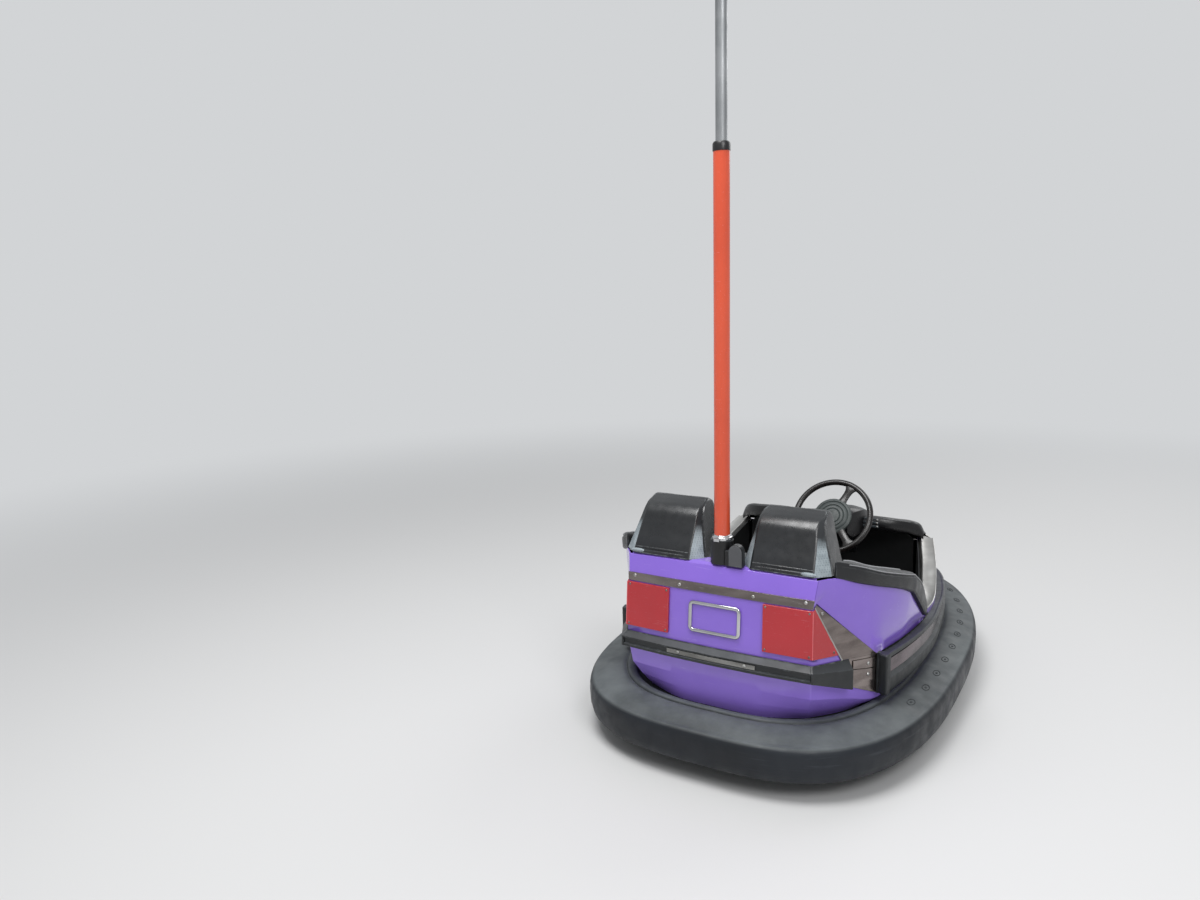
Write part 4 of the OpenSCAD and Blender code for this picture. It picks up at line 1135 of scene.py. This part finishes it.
# Headrests
# levels of a headrest: z, front y, rear y, side y, inner and outer x at front, rear and side
HEAD = [
    (634, 610, 794, 752, 70, 328, 103, 293, 60, 340),
    (660, 611, 782, 742, 74, 322, 103, 291, 68, 332),
    (700, 611, 760, 730, 80, 313, 103, 288, 77, 318),
    (735, 611, 742, 718, 86, 305, 103, 284, 86, 307),
    (762, 611, 727, 706, 90, 300, 103, 281, 91, 300),
    (779, 613, 708, 692, 93, 296, 103, 282, 94, 296),
    (790, 620, 680, 668, 97, 293, 104, 286, 97, 292),
    (797, 634, 655, 650, 102, 290, 105, 288, 102, 289),
]
HEAD_PLEATS = (642, 786, 3)


def pleat_depth(z):
    """How far the front of a headrest is drawn in at a height, by its sewn channels."""
    first, last, count = HEAD_PLEATS
    if not first < z < last:
        return 0
    return abs(math.sin(math.pi * count * (z - first) / (last - first))) ** 0.6


# places round a headrest's outline where its rubbed flanks are
FLANK_FACES = (18, 26)


def groove(before, corner, after, centre):
    """The groove between a headrest's shell and its pad, in place of a corner of the outline."""
    back, ahead, deep = [(q - corner).normalized() for q in (before, after, centre)]
    return [corner + back * 6, corner + back * 3 + deep * 5, corner + ahead * 1.5 + deep * 5, corner + ahead * 4]


def headrest_shells():
    # the ten measures of a level run smoothly from level to level, three at a time
    parts = [fine([Vector((h + (0, 0))[k : k + 3]) for h in HEAD], 6) for k in (0, 3, 6, 9)]
    sections = []
    for (z, front, rear), (side, front_in, front_out), inner, end in zip(*parts):
        rear_in, rear_out, side_in = inner
        side_out = end.x
        corners = [at(front_in, front, z), at(front_out, front, z), at(side_out, side, z)]
        corners += [at(rear_out, rear, z), at(rear_in, rear, z), at(side_in, side, z)]
        centre = sum(corners, Vector()) / len(corners)
        ring_points = rounded(corners, (16, 16, 14, 5, 5, 14), 3)
        for k in (2, 5):
            ring_points[4 * k : 4 * k + 4] = groove(corners[k - 1], corners[k], corners[(k + 1) % 6], centre)
        front_row = [lerp(ring_points[3], ring_points[4], t / 8) for t in range(1, 8)]
        ring_points = ring_points[:4] + front_row + ring_points[4:]
        for p in ring_points:
            away = min(abs(p.x - front_in), abs(front_out - p.x))
            if p.y < front + 9 and away > 10:
                p.y += 6 - 6 * pleat_depth(z) * min(1, (away - 10) / 12)
        sections.append(ring_points)
    top = sections[-1]
    centre = sum(top, Vector()) / len(top)
    for share, lift in ((0.7, 1.4), (0.35, 2.0)):
        sections.append([centre + (p - centre) * share + at(0, 0, lift) for p in top])
    points, faces = bar(sections)
    around = len(top)
    flanks = [k % around in FLANK_FACES and k < around * len(parts[0]) for k in range(len(faces))]
    faces = [Inner(f) if flank else f for f, flank in zip(faces, flanks)]
    piece("headrest_shells", pair((points, faces)), "moulded_black", stands_for="headrests", crease=40,
          lining="headrest_flank", finish="headrest_black")
    folds = []
    for z, y, size in ((652, 786.5, 4.4), (641.5, 789.5, 5.6)):
        run = fine([at(106, y - 1.5, z + 1), at(200, y, z), at(290, y - 1.5, z + 1)], 8)
        sections = []
        for k, p in enumerate(run):
            fat = size * math.sin(math.pi * min(1, 0.16 + 1.2 * min(k, len(run) - 1 - k) / (len(run) - 1)) / 2)
            sections.append(hoop(p, at(0, fat, 0), at(0, 0, fat), 10))
        folds.append(bar(sections))
    piece("headrest_folds", pair(joined(*folds)), "moulded_black", crease=50, finish="headrest_black")
    foot_shape = turned([(0, -6.5), (4, -6), (7, -4), (8.5, 0), (7, 4), (4, 6), (0, 6.5)], 16)
    place = Matrix.Translation((279, 788, 641)) @ Matrix.Diagonal((2.9, 1.0, 1.0, 1.0))
    piece("headrest_feet", pair(moved(foot_shape, place)), "moulded_black", crease=60, finish="headrest_flank")


headrest_shells()

# Bolsters on the quarter panels
# place on the quarter panel's edge, width, height
RAIL_ROWS = [(1, 6, 50), (2, 40, 58), (3, 56, 54), (4, 56, 57), (5, 56, 67), (6, 54, 86), (7, 48, 62)]
# section as shares of width and height
RAIL_SHAPE = [(0.02, 0), (-0.2, 0.03), (-0.27, 0.12), (-0.3, 0.42), (-0.3, 0.66), (-0.28, 0.72)]
RAIL_SHAPE += [(-0.22, 0.75), (-0.2, 0.8), (-0.2, 0.88), (-0.15, 0.94), (-0.04, 0.98), (0.15, 1)]
RAIL_SHAPE += [(0.42, 1.01), (0.66, 0.985), (0.84, 0.92), (0.96, 0.8), (1, 0.62), (1, 0.3), (1, 0)]
# piping along a bolster, pale grey as a painted highlight of its top edge and groove: place in its section, radius
HIGHLIGHT_PIPING = [(13, 3.2), (8, 1.6)]


def inward(i):
    """The level direction into the cockpit at a place on the quarter panel's edge."""
    d = QUARTER_TOP[min(i + 1, 7)] - QUARTER_TOP[max(i - 1, 0)]
    return at(d.y, -d.x, 0).normalized()


def bolsters():
    sections = []
    for place, width, height in RAIL_ROWS:
        base, way = QUARTER_TOP[place], inward(place)
        sections.append([base + way * (u * width) + at(0, 0, 2 * GAP + v * height) for u, v in RAIL_SHAPE])
    sections = fine_down(sections, 7, (4,))
    highlight_pipes = []
    for spot, size in HIGHLIGHT_PIPING:
        line = [s[spot] + (s[spot] - sum(s, Vector()) / len(s)).normalized() * 0.6 for s in sections[4:]]
        rings = []
        for p, way in zip(line, ways(line)):
            side = way.cross(at(0, 0, 1)).normalized()
            rings.append(hoop(p, side * size, side.cross(way) * size))
        highlight_pipes.append(bar(rings))
    piece("bolster_highlight_piping", pair(joined(*highlight_pipes)), "moulded_black", crease=60, finish="piping_painted_highlight")
    start = sections[0]
    centre = sum(start, Vector()) / len(start)
    sections = [[centre + (p - centre) * 0.86 + at(-3, 5, 0) for p in start]] + sections
    piece("side_bolsters", pair(bar(sections)), "moulded_black", stands_for="side_rails", bevel=2.5,
          crease=28, steps=3, finish="bolster_black")


bolsters()

# Seats
BACK_FOOT, BACK_HEAD = (502, 300), (646, 634)
BACK_LEN = math.hypot(BACK_HEAD[0] - BACK_FOOT[0], BACK_HEAD[1] - BACK_FOOT[1])
BACK_DIR = ((BACK_HEAD[0] - BACK_FOOT[0]) / BACK_LEN, (BACK_HEAD[1] - BACK_FOOT[1]) / BACK_LEN)
PLEATS = 9
PAD_LEN = BACK_LEN - 20
# a pad's inner and outer edge, how far the outer one runs in towards the top, and its face's distance
PAD_IN, PAD_OUT, PAD_TAPER, PAD_FACE = 70, 348, 44, 20


def on_back(x, s, d):
    """A point on the seat back: across, up along it, and out of its face."""
    y = BACK_FOOT[0] + BACK_DIR[0] * s - BACK_DIR[1] * d
    return at(x, y, BACK_FOOT[1] + BACK_DIR[1] * s + BACK_DIR[0] * d)


def swollen(name, shape, voxel, cap, stands_for):
    """A padded piece: the closed shape is inflated as cloth, and no point moves further than cap."""
    obj = piece(name, shape, "seat_vinyl", stands_for=stands_for, crease=180)
    remesh = obj.modifiers.new("even skin", "REMESH")
    remesh.mode = "VOXEL"
    remesh.voxel_size = voxel * MM
    remesh.use_smooth_shade = True
    bake(obj)
    start = [v.co.copy() for v in obj.data.vertices]
    cloth = obj.modifiers.new("filling", "CLOTH")
    cloth.settings.use_pressure = True
    cloth.settings.uniform_pressure_force = 4
    cloth.settings.effector_weights.gravity = 0
    cloth.settings.quality = 4
    for step in range(1, 16):
        scene.frame_set(step)
    bake(obj)
    scene.frame_set(1)
    for v, p in zip(obj.data.vertices, start):
        shift = v.co - p
        if shift.length > cap * MM:
            v.co = p + shift.normalized() * cap * MM
    return obj


def bake(obj):
    """The modifiers' result becomes the piece's own mesh."""
    deps = bpy.context.evaluated_depsgraph_get()
    mesh = bpy.data.meshes.new_from_object(obj.evaluated_get(deps))
    obj.modifiers.clear()
    obj.data = mesh


def seat_pads():
    grids = []
    for d in (PAD_FACE, 4):
        rows = []
        for s in (0, PAD_LEN * 0.5, PAD_LEN):
            rows.append([on_back(x, 4 + s, d) for x in (PAD_IN, PAD_OUT - PAD_TAPER * s / BACK_LEN)])
        grids.append(rows)
    pads = swollen("seat_back_pads", pair(sheet(*grids)), 6, 7, "seat_backs")
    for v in pads.data.vertices:
        y, z = v.co.y / MM - BACK_FOOT[0], v.co.z / MM - BACK_FOOT[1]
        s, d = y * BACK_DIR[0] + z * BACK_DIR[1] - 4, -y * BACK_DIR[1] + z * BACK_DIR[0]
        side = min(abs(v.co.x) / MM - 66, 350 - PAD_TAPER * s / BACK_LEN - abs(v.co.x) / MM)
        swell = abs(math.sin(math.pi * PLEATS * min(max(s / PAD_LEN, 0), 1))) ** 0.55
        if d > 9:
            push = (9 * swell - 5) * min(1, max(0, side / 14))
            v.co += Vector((0, -BACK_DIR[1], BACK_DIR[0])) * push * MM
        if d < 1.5:
            v.co -= Vector((0, -BACK_DIR[1], BACK_DIR[0])) * (d - 1.5) * MM


# height of the box that the cushion lies on
SEAT_BASE = 98


def seat_bench():
    z = PAN_TOP + SEAT_BASE + 2 * GAP
    outline = [(256, z + 3), (480, z + 3), (468, z + 28), (390, z + 38), (302, z + 50), (262, z + 42)]
    sections = [[at(x, y, h) for y, h in outline] for x in (-358, 0, 358)]
    bench = swollen("seat_bench_pad", bar(sections), 8, 9, "seat_cushion")
    for v in bench.data.vertices:
        x, h = v.co.x / MM, v.co.z / MM - z
        if h > 20:
            channel = abs(math.sin(math.pi * (x + 360) / 80)) ** 0.5
            middle = min(1, abs(x) / 26)
            v.co.z -= (4.5 * (1 - channel) + 12 * (1 - middle)) * MM
        v.co.z = max(v.co.z, (z + 0.3) * MM)
        v.co.x = max(-0.3655, min(0.3655, v.co.x))


seat_pads()
seat_bench()

# Steering wheel, along its column
SLOPE = 35
WHEEL_AT = at(-95, -23, 605)
COLUMN = Matrix.Translation(WHEEL_AT) @ Matrix.Rotation(math.radians(SLOPE - 90), 4, "X")
WHEEL_R = 139
RIM_R = 11
# radius at which the spokes meet the rim
SPOKE_END = 134
HUB_PROFILE = [(9, -78), (9, -38), (22, -38), (22, -12), (60, -11), (70, -8), (71, -2), (70, 3), (66, 5.5)]
HUB_PROFILE += [(61, 6), (59, 4.5), (57.5, 3.6), (56, 4.5), (54, 6.4), (46, 7.2), (44.5, 5.6)]
HUB_PROFILE += [(43, 4.8), (41.5, 5.8), (40, 7.6), (32, 8.6)]
HUB_PROFILE += [(30.5, 7), (29, 6.2), (27.5, 7.2), (26, 9), (12, 10), (0, 10.4)]


def steering():
    rim = [(WHEEL_R + RIM_R * math.cos(a), RIM_R * math.sin(a)) for a in turns(16)]
    # along a spoke: distance from the axis, half width, top, underside
    stations = [(62, 15, 4, -8), (84, 13, 3, -7), (104, 13, 4, -7), (120, 17, 5, -6), (SPOKE_END, 27, 4, -4)]
    sections = []
    for r, w, top, under in stations:
        end = r + (math.sqrt(SPOKE_END ** 2 - w ** 2) - SPOKE_END if r == SPOKE_END else 0)
        outline = [at(end, -w, under), at(end, w, under), at(end, w, top * 0.6)]
        outline += [at(r, w * 0.5, top + 1), at(r, -w * 0.5, top + 1), at(end, -w, top * 0.6)]
        sections.append(outline)
    spoke = bar(fine_down(sections, 3))
    spokes = [moved(spoke, Matrix.Rotation(math.radians(turn), 4, "Z")) for turn in (8, 128, 248)]
    piece("wheel_rim", moved(turned(rim, 72, True), COLUMN), "wheel_black", "steering_wheel",
          "steering_wheel", crease=60)
    piece("wheel_spokes", moved(joined(*spokes), COLUMN), "wheel_black", "steering_wheel", bevel=2, crease=40)
    piece("wheel_hub", moved(turned(HUB_PROFILE, 56), COLUMN), "wheel_black", "steering_wheel", crease=40,
          finish="hub_green")


steering()

# Screws, by place and direction


def both_sides(places):
    """The places, and their mirror images."""
    return places + [(at(-p.x, p.y, p.z), at(-d.x, d.y, d.z)) for p, d in places]


def on_quad(c, u, v, reach):
    """A point and the outward direction on a patch, held off it by reach."""
    p = quad(c, u, v)
    normal = (quad(c, u + 0.01, v) - p).cross(quad(c, u, v + 0.01) - p).normalized()
    if normal.dot(at(p.x, p.y, 0)) < 0:
        normal = -normal
    return p + out_dir(p) * reach, normal


UPPER = [FACE_TOP[0], FACE_TOP[2], DECK_EDGE[0], DECK_EDGE[2]]
COVER_PLATE = [mid(3) - at(0, 0, 18), mid(4) - at(0, 0, 18), high(3), high(4)]
LAMP_FACE = [lerp(mid(13), mid(12), 0.01), lerp(mid(12), mid(13), 0.005)]
LAMP_FACE += [HOOD_FRONT[3] - at(0, 0, WALL), HOOD_FRONT[4] - at(1, 0, WALL)]


def fixings():
    lamp = [on_quad(FACE_OUT, u, v, 8.2) for u in (0.06, 0.93) for v in (0.16, 0.93)]
    lamp += [on_quad(FACET_A, 0.68, 0.18, 8.2)]
    screws("lamp_screws", both_sides(lamp), 3.6)
    trim = [on_quad(UPPER, u, v, TRIM + GAP) for u, v in ((0.4, 0.13), (0.92, 0.2))]
    trim += [on_quad(FACET_B, 0.45, 0.86, TRIM + GAP)]
    trim += [on_quad(COVER_PLATE, 0.66, v, 2 * TRIM + 3 * GAP) for v in (0.48, 0.78)]
    screws("trim_screws", both_sides(trim), 5.6, finish="bright_steel")
    plate = [(at(x, rear_y(x) + 23.6, 351), at(0, 1, 0)) for x in (-108, 112)]
    screws("rubber_plate_screws", plate, 5.5, finish="bright_steel")
    front = [on_quad(LAMP_FACE, u, v, 10.2) for u, v in ((0.12, 0.32), (0.86, 0.32), (0.84, 0.76))]
    screws("head_lamp_screws", both_sides(front), 4.5, "machine_steel")


fixings()

# Fittings of the pole and of the cable's box beside it
POLE_Y = 766
SOCKET_TOP = DECK_Z + 72
SLEEVE_TOP = 1840


def pole_fittings():
    clamp = [(24.6, 0.5), (30, 0.5), (32, 2), (32, 10), (30, 12), (27.5, 12.5), (26.5, 16), (24.6, 17)]
    ring_shape = moved(turned(clamp, 40, True), Matrix.Translation((0, POLE_Y, SOCKET_TOP)))
    corners = ((30, 2), (43, 2), (43, 11), (30, 11))
    lug = bar([[at(x, POLE_Y + w, SOCKET_TOP + z) for w, z in corners] for x in (-9, 9)])
    piece("clamp_ring", joined(ring_shape, lug), "chrome_trim", bevel=0.8, crease=35)
    cap = turned([(17.4, -2), (25.5, -2), (25.5, 18), (22, 24), (17.4, 24)], 40, True)
    cap = moved(cap, Matrix.Translation((0, POLE_Y, SLEEVE_TOP)))
    piece("sleeve_cap", cap, "contact_black", bevel=0.8, crease=35)
    # cover on the rear of the cable's box
    middle, half, top = -58, 21, DECK_Z + 46
    outline = [(middle + half, DECK_Z + 2)]
    outline += [(middle + half * math.cos(a), top + half * math.sin(a)) for a in turns(28)[:15]]
    outline += [(middle - half, DECK_Z + 2)]
    cover = bar([[at(x, POLE_Y + 34.2 + h, z) for x, z in outline] for h in (0, 3.2)])
    piece("cable_cover", cover, "contact_black", bevel=1.4, crease=40, finish="box_grey")
    screws("clamp_screw", [(at(9, POLE_Y + 37, SOCKET_TOP + 6.5), at(1, 0, 0))], 4.5, "machine_steel")


pole_fittings()

# Frame nodes that keep their shape, with their finish, soft edge in mm and crease angle
KEPT = {
    "bumper_band": ("steel_black", 0.8, 40),
    "floor_pan": ("cockpit_black", 0, 40),
    "chassis_frame": ("steel_black", 1.5, 40),
    "hood_mesh": ("grille_grey", 0, 30),
    "front_panel": ("strip_black", 1.5, 25),
    "front_strip": ("strip_black", 3, 30),
    "rear_steel_trim": ("trim_steel", 0.6, 25),
    "head_lamps": ("lamp_yellow", 2.5, 25),
    "head_lamp_trims": ("trim_steel", 2.5, 25),
    "hood_side_plates": ("trim_steel", 0.6, 30),
    "number_plate": ("plate_purple", 0.4, 30),
    "bulkhead": ("cockpit_black", 0, 30),
    "cockpit_liner": ("cockpit_black", 0, 30),
    "seat_shell": ("moulded_black", 2, 30),
    "seat_base": ("cockpit_black", 2, 30),
    "steering_column": ("moulded_black", 1, 40),
    "drive_pedal": ("machine_steel", 1, 30),
    "pole_socket": ("contact_black", 1.5, 40),
    "pole_sleeve": ("pole_red", 1.5, 40),
    "pole_tube": ("pole_steel", 0.8, 40),
    "roof_contact": ("contact_black", 4, 40),
    "swivel_bearing": ("machine_steel", 1, 40),
    "drive_fork": ("machine_steel", 1, 40),
    "drive_motor": ("motor_grey", 3, 40),
    "drive_axle": ("machine_steel", 0.8, 40),
    "drive_wheel_hub": ("machine_steel", 1, 40),
    "drive_wheel_tyre": ("wheel_rubber", 3, 40),
    "rear_axle": ("machine_steel", 0.8, 40),
    "rear_wheel_left": ("wheel_rubber", 3, 40),
    "rear_wheel_right": ("wheel_rubber", 3, 40),
}
for node_name, (slot, soft, crease) in KEPT.items():
    keep_node(node_name, slot, soft, crease)

# Floor, light and backdrop
BACKDROP = "D2D4D6"
# distance in metres over which the lit floor turns into the backdrop
FLOOR_FADE = (2.2, 7.0)


def stage_set():
    mesh = bpy.data.meshes.new("floor")
    corners = [(-60, -60, 0), (60, -60, 0), (60, 60, 0), (-60, 60, 0)]
    mesh.from_pydata(corners, [], [(0, 1, 2, 3)])
    ground = Finish("pale floor", Roughness=0.6)
    ground.shader.inputs["Base Color"].default_value = colour("D6D6D6")
    away = ground.node("ShaderNodeVectorMath", {0: ground.place((1, 1, 0))}, operation="LENGTH").outputs["Value"]
    glow = ground.node("ShaderNodeEmission", {"Color": colour(BACKDROP)})
    blend = ground.node("ShaderNodeMixShader", {0: ground.spread(away, *FLOOR_FADE)})
    ground.feed(blend.inputs[1], ground.shader.outputs[0])
    ground.feed(blend.inputs[2], glow.outputs[0])
    ground.feed(ground.tree.nodes["Material Output"].inputs["Surface"], blend.outputs[0])
    mesh.materials.append(ground.material)
    floor = bpy.data.objects.new("floor", mesh)
    scene.collection.objects.link(floor)
    world = bpy.data.worlds.new("studio")
    world.use_nodes = True
    scene.world = world
    t = Tree(world.node_tree)
    back = world.node_tree.nodes["Background"]
    ray = t.node("ShaderNodeLightPath").outputs
    seen = t.math("MAXIMUM", ray["Is Camera Ray"], t.math("MULTIPLY", ray["Is Glossy Ray"], 0.75))
    t.feed(back.inputs["Color"], colour(BACKDROP))
    t.feed(back.inputs["Strength"], t.math("ADD", 0.6, t.math("MULTIPLY", seen, 0.4)))
    for name, place, aim, size, power in (
        ("key", (-3.2, 3.6, 4.6), (0, 0.2, 0.4), 2.4, 110),
        ("overhead", (0.4, 1.9, 4.8), (0, 0.5, 0.7), 2.4, 150),
        ("front", (-1.5, -4.6, 4.0), (0, -0.2, 0.4), 3.6, 80),
    ):
        data = bpy.data.lights.new(name, "AREA")
        data.shape = "DISK"
        data.size = size
        data.energy = power
        lamp = bpy.data.objects.new(name, data)
        lamp.location = place
        lamp.rotation_mode = "QUATERNION"
        lamp.rotation_quaternion = (Vector(place) - Vector(aim)).to_track_quat("Z", "Y")
        scene.collection.objects.link(lamp)
    scene.view_settings.view_transform = "Standard"


stage_set()
